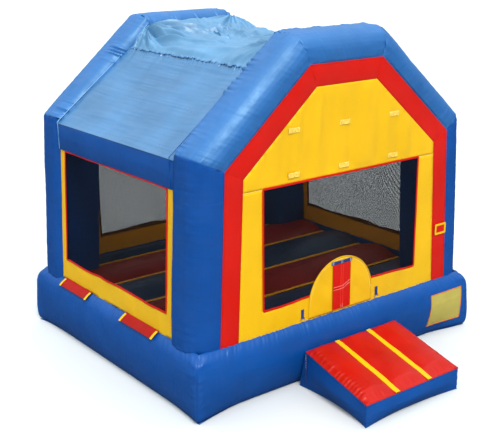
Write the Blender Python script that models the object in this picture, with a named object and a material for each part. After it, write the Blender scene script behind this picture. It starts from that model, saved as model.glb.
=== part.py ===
"""Inflatable bounce house: a blown-up perimeter base with four columns, two arches, vinyl walls
with net windows, a slack roof and a hinged entry step.

Metres, +Z up. The origin is the centre of the base's underside, on the ground. The entrance
faces -Y, and +X is on the right of someone who looks at the entrance.
"""

import math

import bmesh
import bpy
from mathutils import Vector

# Driving dimensions: the base is 15 ft wide and 13 ft deep.
BASE_WIDTH = 4.572
BASE_DEPTH = 3.962
BASE_TOP = 0.80
BASE_TUBE = 0.18
SHEET_UNDER = 0.010
SHEET_MARGIN = 0.03
# The outside of a base tube: how far in from the base's outer side it is, and at what height.
BASE_TOE = 0.046
BASE_SIDE = (
    (0.016, 0.10), (0.0, 0.28), (0.0, 0.50), (0.006, 0.62), (0.028, 0.70), (0.061, 0.755),
    (0.106, 0.79), (0.156, BASE_TOP),
)

# Bounce floor: tubes across the house, with a seam between each two.
FLOOR_SEAMS = (-0.81, 0.0, 0.81, 1.62)
FLOOR_VALLEY = 0.70
CROWN_STEPS = 8

# Columns and arches. A tube is TUBE across seen from the front, and DEPTH from front to back.
TUBE = 0.60
DEPTH = 0.58
FRONT = 1.874
EAVE = (1.53, 2.69)
APEX = (0.474, 3.60)
SPLAY = 0.09
TRIM = 0.255

# Thicknesses and clearances. A blown-up skin is drawn SKIN thick, and a flat panel PANEL thick.
SKIN = 0.009
PANEL = 0.006
NET = 0.004
NET_SETBACK = 0.008
SIDE_NET_SETBACK = 0.030
WEBBING = 0.0025
GAP = 0.0005
FLOOR_CREST = BASE_TOP - GAP

# Walls: the side walls lean with the columns.
WINDOW_LOW = 1.075
WINDOW_TOP = 2.536
WINDOW_HALF_X = 1.258
WINDOW_HALF_Y = 1.21
WALL_TOP = 2.556
WALL_X = 2.085
BAY = FRONT - DEPTH
NET_OVERLAP = 0.02

# Eave beams and roof sheets.
BEAM_OUTER = 2.10
BEAM_INNER = 1.80
BEAM_ROUND = 0.02
BEAM_LOW_ROUND = 0.05
BEAM_HIGH_ROUND = 0.03
BEAM_BELOW_ROOF = 0.022
ROOF_EAVE = (2.10, 2.925)
ROOF_SEAM = (0.98, 3.795)
ROOF_CORNER = (0.70, 4.06)
ROOF_SAG = 0.18
ROOF_SHEET = 0.008
ROOF_SEAM_GAP = 0.002
ROOF_MIDWAY = (0.84, 0.35)
ROOF_STEPS = 8

# Door: a round-topped patch with a slit that two leaves cover.
DOOR_X = -0.04
DOOR_RADIUS = 0.52
DOOR_CENTRE_Z = 0.965
SLIT_HALF = 0.13
SLIT_LOW = 0.86
SLIT_TOP = 1.39
LEAF_HALF = 0.146
LEAF_LOW = 0.825
LEAF_TOP = 1.402
LEAF_SHEET = 0.005
LEAF_EDGE_GAP = 0.0015
CUT_CLEARANCE = 0.05
CUT_THROUGH = 0.003
HEADER_HALF = 0.168
HEADER_SHEET = 0.006
HEADER_OVER_LEAF = 0.003
HEADER_HEIGHT = 0.040

# Tie straps and rings beside the door.
STRAP_X = 0.62
STRAP_WIDTH = 0.044
STRAP_TOP = 0.95
RING_BAR_Z = 0.842
RING_HALF = 0.030
RING_DROP = 0.046
RING_WIRE = 0.0028
RING_PLAY = 0.0012
STRAP_TURN = 330

# Entry step: it lies a little askew, so its centre line has an X at the front and at the back.
STEP_FRONT_X = -0.10
STEP_BACK_X = 0.015
STEP_HALF = 0.762
STEP_BACK = -2.045
STEP_FRONT = -3.195
STEP_FRONT_TOP = 0.285
STEP_BACK_TOP = 0.485
STEP_UNDER = 0.004
STEP_LOBES = 3
LOBE_RISE = 0.035
DECK = 0.010
STRIPE = 0.064
STRIPE_MARGIN = 0.002
STRIPE_SHEET = 0.003
TAB_BEHIND = 0.010
TAB_WIDTH = 0.035
TAB_LOW = 0.12
TAB_BELOW_TOP = 0.02

# Deflation flaps on the left shoulder of the base.
FLAP_HINGE = (-2.174, 0.814)
FLAP_TIP = (-2.283, 0.740)
FLAP_SPANS = {"rear": (0.52, 1.23), "front": (-1.07, -0.33)}
FLAP_SHEET = 0.004
FLAP_HINGE_GAP = 0.001

# Zip sliders, on the slope between two points of the base's outside.
SLIDER = (0.016, 0.030, 0.009)
SLIDER_IN = 0.086
SLIDER_SLOPE = 5
SLIDER_LIFT = 0.0025
SLIDER_FROM_END = 0.05

# Document pocket on the right trim and plain patch on the front of the base.
POCKET = (1.630, 1.835, 1.42, 1.565)
POCKET_SHEET = 0.004
PATCH_ACROSS = (1.50, 2.13)
PATCH_HEIGHTS = (0.16, 0.28, 0.50, 0.62)
PATCH_SHEET = 0.003

# Blower sleeve behind the base.
SLEEVE_X = 1.40
SLEEVE_RADIUS = 0.13
SLEEVE_LENGTH = 0.62
SLEEVE_SHEET = 0.006
SLEEVE_OFF_GROUND = 0.012

COLOURS = {
    "blue_vinyl": ((0.015, 0.09, 0.36), 0.38),
    "red_vinyl": ((0.70, 0.015, 0.004), 0.40),
    "yellow_vinyl": ((0.90, 0.52, 0.004), 0.42),
    "roof_vinyl": ((0.19, 0.42, 0.68), 0.42),
    "net": ((0.012, 0.012, 0.012), 0.80),
    "webbing": ((0.02, 0.03, 0.14), 0.75),
    "patch": ((0.72, 0.60, 0.22), 0.50),
    "ring_metal": ((0.75, 0.75, 0.75), 0.25),
}
METAL = {"ring_metal"}


def clear_scene():
    for found in list(bpy.data.objects):
        bpy.data.objects.remove(found, do_unlink=True)


def make_material(slot, name):
    colour, roughness = COLOURS[slot]
    made = bpy.data.materials.new(name)
    made.use_nodes = True
    shader = made.node_tree.nodes["Principled BSDF"]
    shader.inputs["Base Color"].default_value = (*colour, 1.0)
    shader.inputs["Roughness"].default_value = roughness
    shader.inputs["Metallic"].default_value = 1.0 if slot in METAL else 0.0
    made.diffuse_color = (*colour, 1.0)
    return made


def place(name, mesh_tool, slot, pivot=(0.0, 0.0, 0.0)):
    """Turns a bmesh in world coordinates into a named object whose origin is its pivot."""
    bmesh.ops.recalc_face_normals(mesh_tool, faces=mesh_tool.faces[:])
    bmesh.ops.translate(mesh_tool, verts=mesh_tool.verts[:], vec=-Vector(pivot))
    mesh = bpy.data.meshes.new(name)
    mesh_tool.to_mesh(mesh)
    mesh_tool.free()
    mesh.shade_smooth()
    mesh.set_sharp_from_angle(angle=math.radians(35))
    made = bpy.data.objects.new(name, mesh)
    made.location = pivot
    mesh.materials.append(make_material(slot, name + "_" + slot))
    bpy.context.scene.collection.objects.link(made)
    return made


def band(mesh_tool, first, second):
    """Quads from one closed loop of vertices to the next."""
    for i, vert in enumerate(first):
        after = (i + 1) % len(first)
        mesh_tool.faces.new((vert, first[after], second[after], second[i]))


def loops(mesh_tool, rings):
    return [[mesh_tool.verts.new(point) for point in ring] for ring in rings]


def solid(name, rings, slot, pivot=(0.0, 0.0, 0.0)):
    """A closed solid lofted through rings of points, with flat ends."""
    mesh_tool = bmesh.new()
    made = loops(mesh_tool, rings)
    for first, second in zip(made, made[1:]):
        band(mesh_tool, first, second)
    mesh_tool.faces.new(made[0])
    mesh_tool.faces.new(made[-1])
    return place(name, mesh_tool, slot, pivot)


def open_skin(name, outer, inner, slot):
    """A blown-up chamber: a hollow skin between an outer and an inner pair of end rings."""
    mesh_tool = bmesh.new()
    outside = loops(mesh_tool, outer)
    inside = loops(mesh_tool, inner)
    band(mesh_tool, outside[0], outside[1])
    band(mesh_tool, inside[0], inside[1])
    band(mesh_tool, outside[0], inside[0])
    band(mesh_tool, outside[1], inside[1])
    return place(name, mesh_tool, slot)


def slab(name, outline, slot, low, high, pivot=(0.0, 0.0, 0.0), axis="Y"):
    """An outline extruded from low to high along an axis.

    The outline is in the other two axes, in X, Y, Z order.
    """
    spread = {
        "X": lambda a, b, at: (at, a, b),
        "Y": lambda a, b, at: (a, at, b),
        "Z": lambda a, b, at: (a, b, at),
    }[axis]
    rings = [[spread(a, b, at) for a, b in outline] for at in (low, high)]
    return solid(name, rings, slot, pivot)


def box_outline(left, right, low, high):
    return [(left, low), (right, low), (right, high), (left, high)]


def arc(centre, radius, start, end, steps):
    """Points on an arc, with both angles in degrees."""
    turn = (end - start) / steps
    angles = [math.radians(start + turn * i) for i in range(steps + 1)]
    return [(centre[0] + radius * math.cos(a), centre[1] + radius * math.sin(a)) for a in angles]


def rounded_outline(width, depth, radii, steps=5):
    """A rectangle with one radius for each corner, anticlockwise from (0, 0)."""
    corners = [(0.0, 0.0, 180), (width, 0.0, 270), (width, depth, 0), (0.0, depth, 90)]
    points = []
    for (x, y, start), radius in zip(corners, radii):
        centre = (radius if x == 0.0 else x - radius, radius if y == 0.0 else y - radius)
        points += arc(centre, radius, start, start + 90, steps)
    return points


def meet(point, along, line):
    """Where the line through a point, in a direction, crosses the line through two points."""
    (ax, ay), (bx, by) = line
    across = (bx - ax, by - ay)
    scale = along[0] * across[1] - along[1] * across[0]
    reach = ((ax - point[0]) * across[1] - (ay - point[1]) * across[0]) / scale
    return (point[0] + reach * along[0], point[1] + reach * along[1])


def inset(outline, distance):
    """A convex anticlockwise outline moved inwards by a distance."""
    lines = []
    for i, (x, y) in enumerate(outline):
        nx, ny = outline[(i + 1) % len(outline)]
        length = math.hypot(nx - x, ny - y)
        side = ((y - ny) / length * distance, (nx - x) / length * distance)
        lines.append(((x + side[0], y + side[1]), (nx - x, ny - y)))
    moved = []
    for i, (start, along) in enumerate(lines):
        before, towards = lines[i - 1]
        end = (before[0] + towards[0], before[1] + towards[1])
        moved.append(meet(start, along, (before, end)))
    return moved


def ribbon(path, thickness):
    """The outline of a strip that follows a path, thickness wide, lying on the path's left."""
    offset = []
    for i, (x, y) in enumerate(path):
        ahead = path[min(i + 1, len(path) - 1)]
        behind = path[max(i - 1, 0)]
        length = math.hypot(ahead[0] - behind[0], ahead[1] - behind[1])
        nx, ny = (behind[1] - ahead[1]) / length, (ahead[0] - behind[0]) / length
        offset.append((x + nx * thickness, y + ny * thickness))
    return path + offset[::-1]


# ---- Base and bounce floor -------------------------------------------------------------------


def base_profile():
    """Cross-section of a base tube: distance outwards from its inner side, and height."""
    low = SHEET_UNDER + GAP
    side = [(BASE_TUBE - inwards, height) for inwards, height in BASE_SIDE]
    return [(0.0, low), (BASE_TUBE - BASE_TOE, low)] + side + [(0.0, BASE_TOP)]


def base_face(height):
    """How far out the base's outer side is at a height below its shoulder."""
    side = base_profile()[1:8]
    for (out_a, z_a), (out_b, z_b) in zip(side, side[1:]):
        if z_a <= height <= z_b:
            return out_a + (out_b - out_a) * (height - z_a) / (z_b - z_a)
    return side[-1][0]


def base_tube(name, half_across, half_along, turn):
    """One side of the base, mitred at both ends. turn puts (across, along, height) in place."""
    outer = base_profile()
    rings = []
    for profile in (outer, inset(outer, SKIN)):
        for end in (-1, 1):
            ring = []
            for out, z in profile:
                across = half_across - BASE_TUBE + out
                along = end * (half_along - BASE_TUBE + out - GAP)
                ring.append(turn(across, along, z))
            rings.append(ring)
    return open_skin(name, rings[:2], rings[2:], "blue_vinyl")


def make_base():
    half_x, half_y = BASE_WIDTH / 2, BASE_DEPTH / 2
    edge_x, edge_y = half_x - SHEET_MARGIN, half_y - SHEET_MARGIN
    ground = box_outline(-edge_x, edge_x, -edge_y, edge_y)
    slab("ground_sheet", ground, "blue_vinyl", 0.0, SHEET_UNDER, axis="Z")
    base_tube("base_tube_front", half_y, half_x, lambda a, t, z: (t, -a, z))
    base_tube("base_tube_back", half_y, half_x, lambda a, t, z: (t, a, z))
    base_tube("base_tube_left", half_x, half_y, lambda a, t, z: (-a, t, z))
    base_tube("base_tube_right", half_x, half_y, lambda a, t, z: (a, t, z))


def make_floor():
    """Side by side tubes along X, each with a crowned top, inside the base."""
    half_x = BASE_WIDTH / 2 - BASE_TUBE - GAP
    half_y = BASE_DEPTH / 2 - BASE_TUBE
    low = SHEET_UNDER + GAP
    edges = (-half_y, *FLOOR_SEAMS, half_y)
    for i, (start, end) in enumerate(zip(edges, edges[1:])):
        start, end = start + GAP, end - GAP
        crown = []
        for step in range(CROWN_STEPS + 1):
            share = step / CROWN_STEPS
            rise = (FLOOR_CREST - FLOOR_VALLEY) * math.sin(math.pi * share)
            crown.append((end + (start - end) * share, FLOOR_VALLEY + rise))
        outline = [(start, low), (end, low)] + crown
        rings = []
        for profile in (outline, inset(outline, SKIN)):
            rings += [[(x, y, z) for y, z in profile] for x in (-half_x, half_x)]
        slot = "red_vinyl" if i % 2 else "blue_vinyl"
        open_skin(f"floor_tube_{i + 1}", rings[:2], rings[2:], slot)


# ---- Columns and arches ----------------------------------------------------------------------


def column_x(height):
    """Where a column's inner side is at a height: the columns splay outwards to their feet."""
    return EAVE[0] + SPLAY * (EAVE[1] - height) / (EAVE[1] - BASE_TOP)


def slope_normal():
    run, rise = EAVE[0] - APEX[0], APEX[1] - EAVE[1]
    length = math.hypot(run, rise)
    return (rise / length, run / length)


def arch_path():
    """The right half of the arch's inner line, and the mitre lines at its eave and its apex."""
    out_x, out_z = slope_normal()
    slope = (APEX[0] - EAVE[0], APEX[1] - EAVE[1])
    outer_slope = (EAVE[0] + TUBE * out_x, EAVE[1] + TUBE * out_z)
    outer_end = (outer_slope[0] + slope[0], outer_slope[1] + slope[1])
    column = (-SPLAY, EAVE[1] - BASE_TOP)
    eave_out = meet((EAVE[0] + TUBE, EAVE[1]), column, (outer_slope, outer_end))
    top_line = ((0.0, APEX[1] + TUBE), (1.0, APEX[1] + TUBE))
    apex_out = meet(outer_slope, slope, top_line)
    return (EAVE, eave_out), (APEX, apex_out)


def tube_section():
    """Across and depth. The outer front edge is a wide round, and the front is flat inside it."""
    return rounded_outline(TUBE, DEPTH, (0.03, 0.22, 0.16, 0.05))


def run_between(section, foot, out, start_line, end_line, side, face):
    """Both end rings of a section swept in a straight run between two mitre lines.

    side is -1 for the left and 1 for the right, and face is -1 at the front and 1 at the back.
    """
    along = (end_line[0][0] - start_line[0][0], end_line[0][1] - start_line[0][1])
    length = math.hypot(*along)
    clear = (along[0] / length * GAP, along[1] / length * GAP)
    rings = []
    for line, sign in ((start_line, 1), (end_line, -1)):
        ring = []
        for across, depth in section:
            point = (foot[0] + out[0] * across, foot[1] + out[1] * across)
            x, z = meet(point, along, line)
            x, z = x + sign * clear[0], z + sign * clear[1]
            ring.append((side * x, face * (FRONT - depth), z))
        rings.append(ring)
    return rings


def arch_runs():
    """Each straight run of an arch: name, foot, outward direction, start and end lines, side."""
    eave, apex = arch_path()
    foot = (column_x(BASE_TOP), BASE_TOP)
    ground = (foot, (foot[0] + TUBE, BASE_TOP))
    mirrored = tuple((-x, z) for x, z in apex)
    runs = []
    for word, side in (("left", -1), ("right", 1)):
        runs.append(("column", word, foot, (1.0, 0.0), ground, eave, side))
        runs.append(("slope", word, EAVE, slope_normal(), eave, apex, side))
    runs.append(("top", "", APEX, (0.0, 1.0), mirrored, apex, 1))
    return runs


def make_arches():
    section = tube_section()
    hollow = inset(section, SKIN)
    for word, face in (("front", -1), ("rear", 1)):
        for part, hand, foot, out, start, end, side in arch_runs():
            outer = run_between(section, foot, out, start, end, side, face)
            inner = run_between(hollow, foot, out, start, end, side, face)
            if part == "column":
                name = f"column_{word}_{hand}"
            else:
                name = "_".join(filter(None, (word, "arch", part, hand)))
            open_skin(name, outer, inner, "blue_vinyl")


def make_trims():
    """Flat facing strips along the inner side of the front arch."""
    strip = [(0.0, -GAP), (0.0, -GAP - PANEL), (TRIM, -GAP - PANEL), (TRIM, -GAP)]
    for part, hand, foot, out, start, end, side in arch_runs():
        rings = run_between(strip, foot, out, start, end, side, -1)
        solid("_".join(filter(None, ("trim", part, hand))), rings, "red_vinyl")


def make_beams():
    """Beams under the eaves, between the columns."""
    rise = (ROOF_SEAM[1] - ROOF_EAVE[1]) / (ROOF_EAVE[0] - ROOF_SEAM[0])
    top = ROOF_EAVE[1] - BEAM_BELOW_ROOF
    inner_top = top + (BEAM_OUTER - BEAM_INNER) * rise
    outline = [
        (BEAM_INNER, WALL_TOP + GAP), (BEAM_OUTER - BEAM_ROUND, WALL_TOP + GAP),
        (BEAM_OUTER, WALL_TOP + BEAM_LOW_ROUND), (BEAM_OUTER, top - BEAM_HIGH_ROUND),
        (BEAM_OUTER - BEAM_ROUND, top + BEAM_ROUND * rise), (BEAM_INNER, inner_top),
    ]
    reach = BAY - GAP
    for word, side in (("left", -1), ("right", 1)):
        rings = []
        for profile in (outline, inset(outline, SKIN)):
            rings += [[(side * x, y, z) for x, z in profile] for y in (-reach, reach)]
        open_skin(f"eave_beam_{word}", rings[:2], rings[2:], "blue_vinyl")


# ---- Walls, nets and door --------------------------------------------------------------------


def window_frame(half_low, half_top, window_half, top):
    """A U-shaped wall panel round a window that is open at the top."""
    return [
        (-half_low, BASE_TOP + GAP), (half_low, BASE_TOP + GAP), (half_top, top),
        (window_half, top), (window_half, WINDOW_LOW), (-window_half, WINDOW_LOW),
        (-window_half, top), (-half_top, top),
    ]


def slit_outline(top):
    """The slit's two sides and its low edge, open at the top, from right to left."""
    right, left = DOOR_X + SLIT_HALF, DOOR_X - SLIT_HALF
    return [(right, top), (right, SLIT_LOW), (left, SLIT_LOW), (left, top)]


def make_front_wall():
    outer, inner = -FRONT - GAP - PANEL, -FRONT - GAP
    low, top = column_x(BASE_TOP) - GAP, column_x(WINDOW_TOP) - GAP
    outline = window_frame(low, top, WINDOW_HALF_X, WINDOW_TOP - GAP)
    notched = outline[:5] + slit_outline(WINDOW_LOW) + outline[5:]
    slab("front_window_frame", notched, "yellow_vinyl", outer, inner)
    make_gable("front_gable_panel", outer, inner)
    back = inner + NET_SETBACK
    slab("net_front", net_with_slit(), "net", back, back + NET)


def net_outline(half):
    low, top = WINDOW_LOW - NET_OVERLAP, WINDOW_TOP + NET_OVERLAP
    return box_outline(-half - NET_OVERLAP, half + NET_OVERLAP, low, top)


def net_with_slit():
    """The front net stops at the sides of the slit, which rises above its low edge."""
    left_low, right_low, right_top, left_top = net_outline(WINDOW_HALF_X)
    left, right = DOOR_X - SLIT_HALF, DOOR_X + SLIT_HALF
    notch = [(left, left_low[1]), (left, SLIT_TOP), (right, SLIT_TOP), (right, left_low[1])]
    return [left_low, *notch, right_low, right_top, left_top]


def make_gable(name, low_y, high_y):
    side_low = column_x(WINDOW_TOP) - GAP
    out_x, out_z = slope_normal()
    eave = (EAVE[0] - GAP, EAVE[1] - GAP)
    apex = (APEX[0] - GAP * out_x, APEX[1] - GAP * out_z - GAP)
    right = [(side_low, WINDOW_TOP + GAP), eave, apex]
    outline = right + [(-x, z) for x, z in reversed(right)]
    slab(name, outline, "yellow_vinyl", low_y, high_y)


def make_back_wall():
    inner, outer = FRONT + GAP, FRONT + GAP + PANEL
    low, top = column_x(BASE_TOP) - GAP, column_x(WINDOW_TOP) - GAP
    outline = window_frame(low, top, WINDOW_HALF_X, WINDOW_TOP - GAP)
    slab("back_window_frame", outline, "yellow_vinyl", inner, outer)
    make_gable("back_gable_panel", inner, outer)
    slab("net_back", net_outline(WINDOW_HALF_X), "net", inner - NET_SETBACK - NET,
         inner - NET_SETBACK)


def wall_x(height):
    """The outer face of a side wall at a height, leaning like the columns."""
    return WALL_X + SPLAY * (WALL_TOP - height) / (EAVE[1] - BASE_TOP)


def leaning_slab(name, outline, slot, side, setback, thickness):
    """An outline in Y and Z made into a panel that leans with a side wall."""
    rings = []
    for depth in (setback, setback + thickness):
        rings.append([(side * (wall_x(z) - depth), y, z) for y, z in outline])
    return solid(name, rings, slot)


def make_side_walls():
    reach = BAY - GAP
    frame = window_frame(reach, reach, WINDOW_HALF_Y, WALL_TOP)
    net = net_outline(WINDOW_HALF_Y)
    net = [(y, min(z, WALL_TOP - GAP)) for y, z in net]
    for word, side in (("left", -1), ("right", 1)):
        leaning_slab(f"{word}_window_frame", frame, "yellow_vinyl", side, 0.0, PANEL)
        leaning_slab(f"net_{word}", net, "net", side, PANEL + SIDE_NET_SETBACK, NET)


def make_door():
    """The door patch with its slit, the webbing header and the two leaves."""
    face = -FRONT - GAP - PANEL
    patch_inner, patch_outer = face - GAP, face - GAP - PANEL
    low = BASE_TOP + GAP
    top = arc((DOOR_X, DOOR_CENTRE_Z), DOOR_RADIUS, 0, 180, 20)
    outline = [(DOOR_X - DOOR_RADIUS, low), (DOOR_X + DOOR_RADIUS, low)] + top
    slit = box_outline(DOOR_X - SLIT_HALF, DOOR_X + SLIT_HALF, SLIT_LOW, SLIT_TOP)
    patch = slab("door_patch", outline, "yellow_vinyl", patch_outer, patch_inner)
    cutter = slab("door_slit_cutter", slit, "yellow_vinyl", patch_outer - CUT_CLEARANCE,
                  patch_inner + CUT_THROUGH)
    cutter.hide_render = True
    cutter.display_type = "WIRE"
    cut = patch.modifiers.new("slit", "BOOLEAN")
    cut.operation = "DIFFERENCE"
    cut.object = cutter
    leaf_back = patch_outer - HEADER_SHEET
    over = LEAF_TOP + HEADER_OVER_LEAF
    header = box_outline(DOOR_X - HEADER_HALF, DOOR_X + HEADER_HALF, over, over + HEADER_HEIGHT)
    slab("door_header", header, "webbing", leaf_back, patch_outer - GAP)
    for word, side in (("left", -1), ("right", 1)):
        hinge_x = DOOR_X + side * LEAF_HALF
        edges = sorted((hinge_x, DOOR_X + side * LEAF_EDGE_GAP))
        leaf = box_outline(edges[0], edges[1], LEAF_LOW, LEAF_TOP)
        slab(f"door_leaf_{word}", leaf, "red_vinyl", leaf_back - LEAF_SHEET, leaf_back - GAP,
             pivot=(hinge_x, leaf_back, LEAF_LOW))


# ---- Roof ------------------------------------------------------------------------------------


def roof_top_height(x, sag_share):
    """The top sheet's height at a place across it. sag_share is 0 at an arch and 1 midway."""
    seam_x, seam_z = ROOF_SEAM
    corner_x, corner_z = ROOF_CORNER
    if abs(x) <= corner_x:
        return corner_z - ROOF_SAG * sag_share
    share = (seam_x - abs(x)) / (seam_x - corner_x)
    return seam_z + (corner_z - seam_z) * share - ROOF_SAG * sag_share * share


def make_roof():
    reach = BAY - GAP
    eave_x, eave_z = ROOF_EAVE
    seam_x, seam_z = ROOF_SEAM[0] + ROOF_SEAM_GAP, ROOF_SEAM[1] - ROOF_SEAM_GAP
    run, rise = eave_x - seam_x, seam_z - eave_z
    length = math.hypot(run, rise)
    drop = (rise / length * ROOF_SHEET, run / length * ROOF_SHEET)
    for word, side in (("left", -1), ("right", 1)):
        outline = [
            (side * eave_x, eave_z), (side * seam_x, seam_z),
            (side * (seam_x - drop[0]), seam_z - drop[1]),
            (side * (eave_x - drop[0]), eave_z - drop[1]),
        ]
        slab(f"roof_slope_{word}", outline, "roof_vinyl", -reach, reach)
    make_roof_top(reach)


def make_roof_top(reach):
    """A sheet that is level at both arches and hangs slack between them."""
    across = [-ROOF_SEAM[0], -ROOF_MIDWAY[0], -ROOF_CORNER[0], -ROOF_MIDWAY[1], 0.0]
    across += [-x for x in reversed(across[:-1])]
    mesh_tool = bmesh.new()
    rows = []
    for step in range(ROOF_STEPS + 1):
        y = -reach + 2 * reach * step / ROOF_STEPS
        sag = 1 - (y / reach) ** 2
        heights = [roof_top_height(x, sag) for x in across]
        rows.append([mesh_tool.verts.new((x, y, z)) for x, z in zip(across, heights)])
    for row, after in zip(rows, rows[1:]):
        for i in range(len(across) - 1):
            mesh_tool.faces.new((row[i], row[i + 1], after[i + 1], after[i]))
    made = place("roof_top", mesh_tool, "roof_vinyl")
    thick = made.modifiers.new("sheet", "SOLIDIFY")
    thick.thickness = ROOF_SHEET
    thick.offset = 0.0


# ---- Entry step ------------------------------------------------------------------------------


def along_step(y, at_front, at_back):
    """A value that changes evenly along the step from its front to its back."""
    share = (y - STEP_FRONT) / (STEP_BACK - STEP_FRONT)
    return at_front + (at_back - at_front) * share


def step_top(y):
    return along_step(y, STEP_FRONT_TOP, STEP_BACK_TOP)


def step_x(y):
    return along_step(y, STEP_FRONT_X, STEP_BACK_X)


def step_pivot():
    return (STEP_BACK_X, STEP_BACK, STEP_BACK_TOP)


def make_step_body():
    """A wedge that is open at the back, where it takes its air from the base."""
    def ring(y, margin):
        half = STEP_HALF - margin
        low, top = STEP_UNDER + margin, step_top(y) - margin
        outline = box_outline(step_x(y) - half, step_x(y) + half, low, top)
        return [(x, y, z) for x, z in outline]

    mesh_tool = bmesh.new()
    rings = [ring(STEP_BACK, 0.0), ring(STEP_FRONT, 0.0)]
    rings += [ring(STEP_FRONT + SKIN, SKIN), ring(STEP_BACK, SKIN)]
    outer_back, outer_front, inner_front, inner_back = loops(mesh_tool, rings)
    band(mesh_tool, outer_back, outer_front)
    mesh_tool.faces.new(outer_front)
    band(mesh_tool, inner_front, inner_back)
    mesh_tool.faces.new(inner_front)
    band(mesh_tool, outer_back, inner_back)
    return place("step_body", mesh_tool, "blue_vinyl", step_pivot())


def deck_profile():
    """The deck's top edge from its centre line: crowned lobes with flat valleys between."""
    lobe = (2 * STEP_HALF - (STEP_LOBES - 1) * STRIPE) / STEP_LOBES
    points = []
    for i in range(STEP_LOBES):
        start = -STEP_HALF + i * (lobe + STRIPE)
        for step in range(CROWN_STEPS + 1):
            share = step / CROWN_STEPS
            points.append((start + lobe * share, DECK + LOBE_RISE * math.sin(math.pi * share)))
    return points


def make_step_deck():
    profile = deck_profile()
    outline = [(profile[0][0], 0.0)] + profile + [(profile[-1][0], 0.0)]
    rings = []
    for y in (STEP_FRONT, STEP_BACK):
        rings.append([(step_x(y) + x, y, step_top(y) + GAP + z) for x, z in outline])
    solid("step_deck", rings, "red_vinyl", step_pivot())
    lobe = (2 * STEP_HALF - (STEP_LOBES - 1) * STRIPE) / STEP_LOBES
    for i, word in enumerate(("left", "right")):
        start = -STEP_HALF + lobe + i * (lobe + STRIPE) + STRIPE_MARGIN
        low, top = DECK + 2 * GAP, DECK + 2 * GAP + STRIPE_SHEET
        outline = box_outline(start, start + STRIPE - 2 * STRIPE_MARGIN, low, top)
        rings = []
        for y in (STEP_FRONT, STEP_BACK):
            rings.append([(step_x(y) + x, y, step_top(y) + z) for x, z in outline])
        solid(f"step_stripe_{word}", rings, "yellow_vinyl", step_pivot())


def make_step_strap():
    """A webbing tab down the left back edge of the step."""
    high = STEP_BACK - TAB_BEHIND
    outline = box_outline(high - TAB_WIDTH, high, TAB_LOW, STEP_BACK_TOP - TAB_BELOW_TOP)
    rings = []
    for off in (GAP + WEBBING, GAP):
        rings.append([(step_x(y) - STEP_HALF - off, y, z) for y, z in outline])
    solid("step_strap", rings, "webbing", step_pivot())


# ---- Small fittings --------------------------------------------------------------------------


def make_tie_straps():
    """Webbing folded round the straight bar of a D-ring, one on each side of the door."""
    face = -FRONT - 2 * GAP - PANEL
    inner = RING_WIRE + RING_PLAY
    bar_y = face - inner - WEBBING
    for word, side in (("left", -1), ("right", 1)):
        centre = DOOR_X + side * STRAP_X
        turn = arc((bar_y, RING_BAR_Z), inner, 0, -STRAP_TURN, 14)
        path = [(bar_y + inner, STRAP_TOP)] + turn
        outline = ribbon(path, WEBBING)
        low, high = centre - STRAP_WIDTH / 2, centre + STRAP_WIDTH / 2
        slab(f"tie_strap_{word}", outline, "webbing", low, high, axis="X")
        make_d_ring(f"d_ring_{word}", (centre, bar_y, RING_BAR_Z))


def make_d_ring(name, bar):
    """A wire ring with a straight bar and a round loop that hangs from it."""
    data = bpy.data.curves.new(name, "CURVE")
    data.dimensions = "3D"
    data.bevel_depth = RING_WIRE
    data.bevel_resolution = 2
    data.use_fill_caps = False
    loop = arc((0.0, -RING_DROP + RING_HALF), RING_HALF, 0, -180, 14)
    points = [(-RING_HALF, 0.0), (RING_HALF, 0.0)] + loop
    line = data.splines.new("POLY")
    line.points.add(len(points) - 1)
    for point, (x, z) in zip(line.points, points):
        point.co = (x, 0.0, z, 1.0)
    line.use_cyclic_u = True
    made = bpy.data.objects.new(name, data)
    made.location = bar
    data.materials.append(make_material("ring_metal", name + "_metal"))
    bpy.context.scene.collection.objects.link(made)


def make_pocket_and_patch():
    """The document pocket on the right trim and the plain patch on the base."""
    face = -FRONT - GAP - PANEL
    pocket = box_outline(*POCKET)
    slab("document_pocket", pocket, "yellow_vinyl", face - GAP - POCKET_SHEET, face - GAP)
    path = []
    for z in PATCH_HEIGHTS:
        out = base_face(z)
        path.append((-(BASE_DEPTH / 2 - BASE_TUBE + out) - 2 * GAP, z))
    slab("care_patch", ribbon(path, PATCH_SHEET), "patch", *PATCH_ACROSS, axis="X")


def make_deflation_flaps():
    """Flaps hinged along the foot of the left wall, over the zips that let the air out."""
    hinge_x, hinge_z = FLAP_HINGE
    length = math.hypot(FLAP_TIP[0] - hinge_x, FLAP_TIP[1] - hinge_z)
    down = ((FLAP_TIP[0] - hinge_x) / length, (FLAP_TIP[1] - hinge_z) / length)
    start = (hinge_x + down[0] * FLAP_HINGE_GAP, hinge_z + down[1] * FLAP_HINGE_GAP)
    outline = ribbon([start, FLAP_TIP], FLAP_SHEET)
    for word, (low, high) in FLAP_SPANS.items():
        middle = (low + high) / 2
        slab(f"deflation_flap_{word}", outline, "red_vinyl", low, high,
             pivot=(hinge_x, middle, hinge_z))
        make_slider(word, high - SLIDER_FROM_END)


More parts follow.
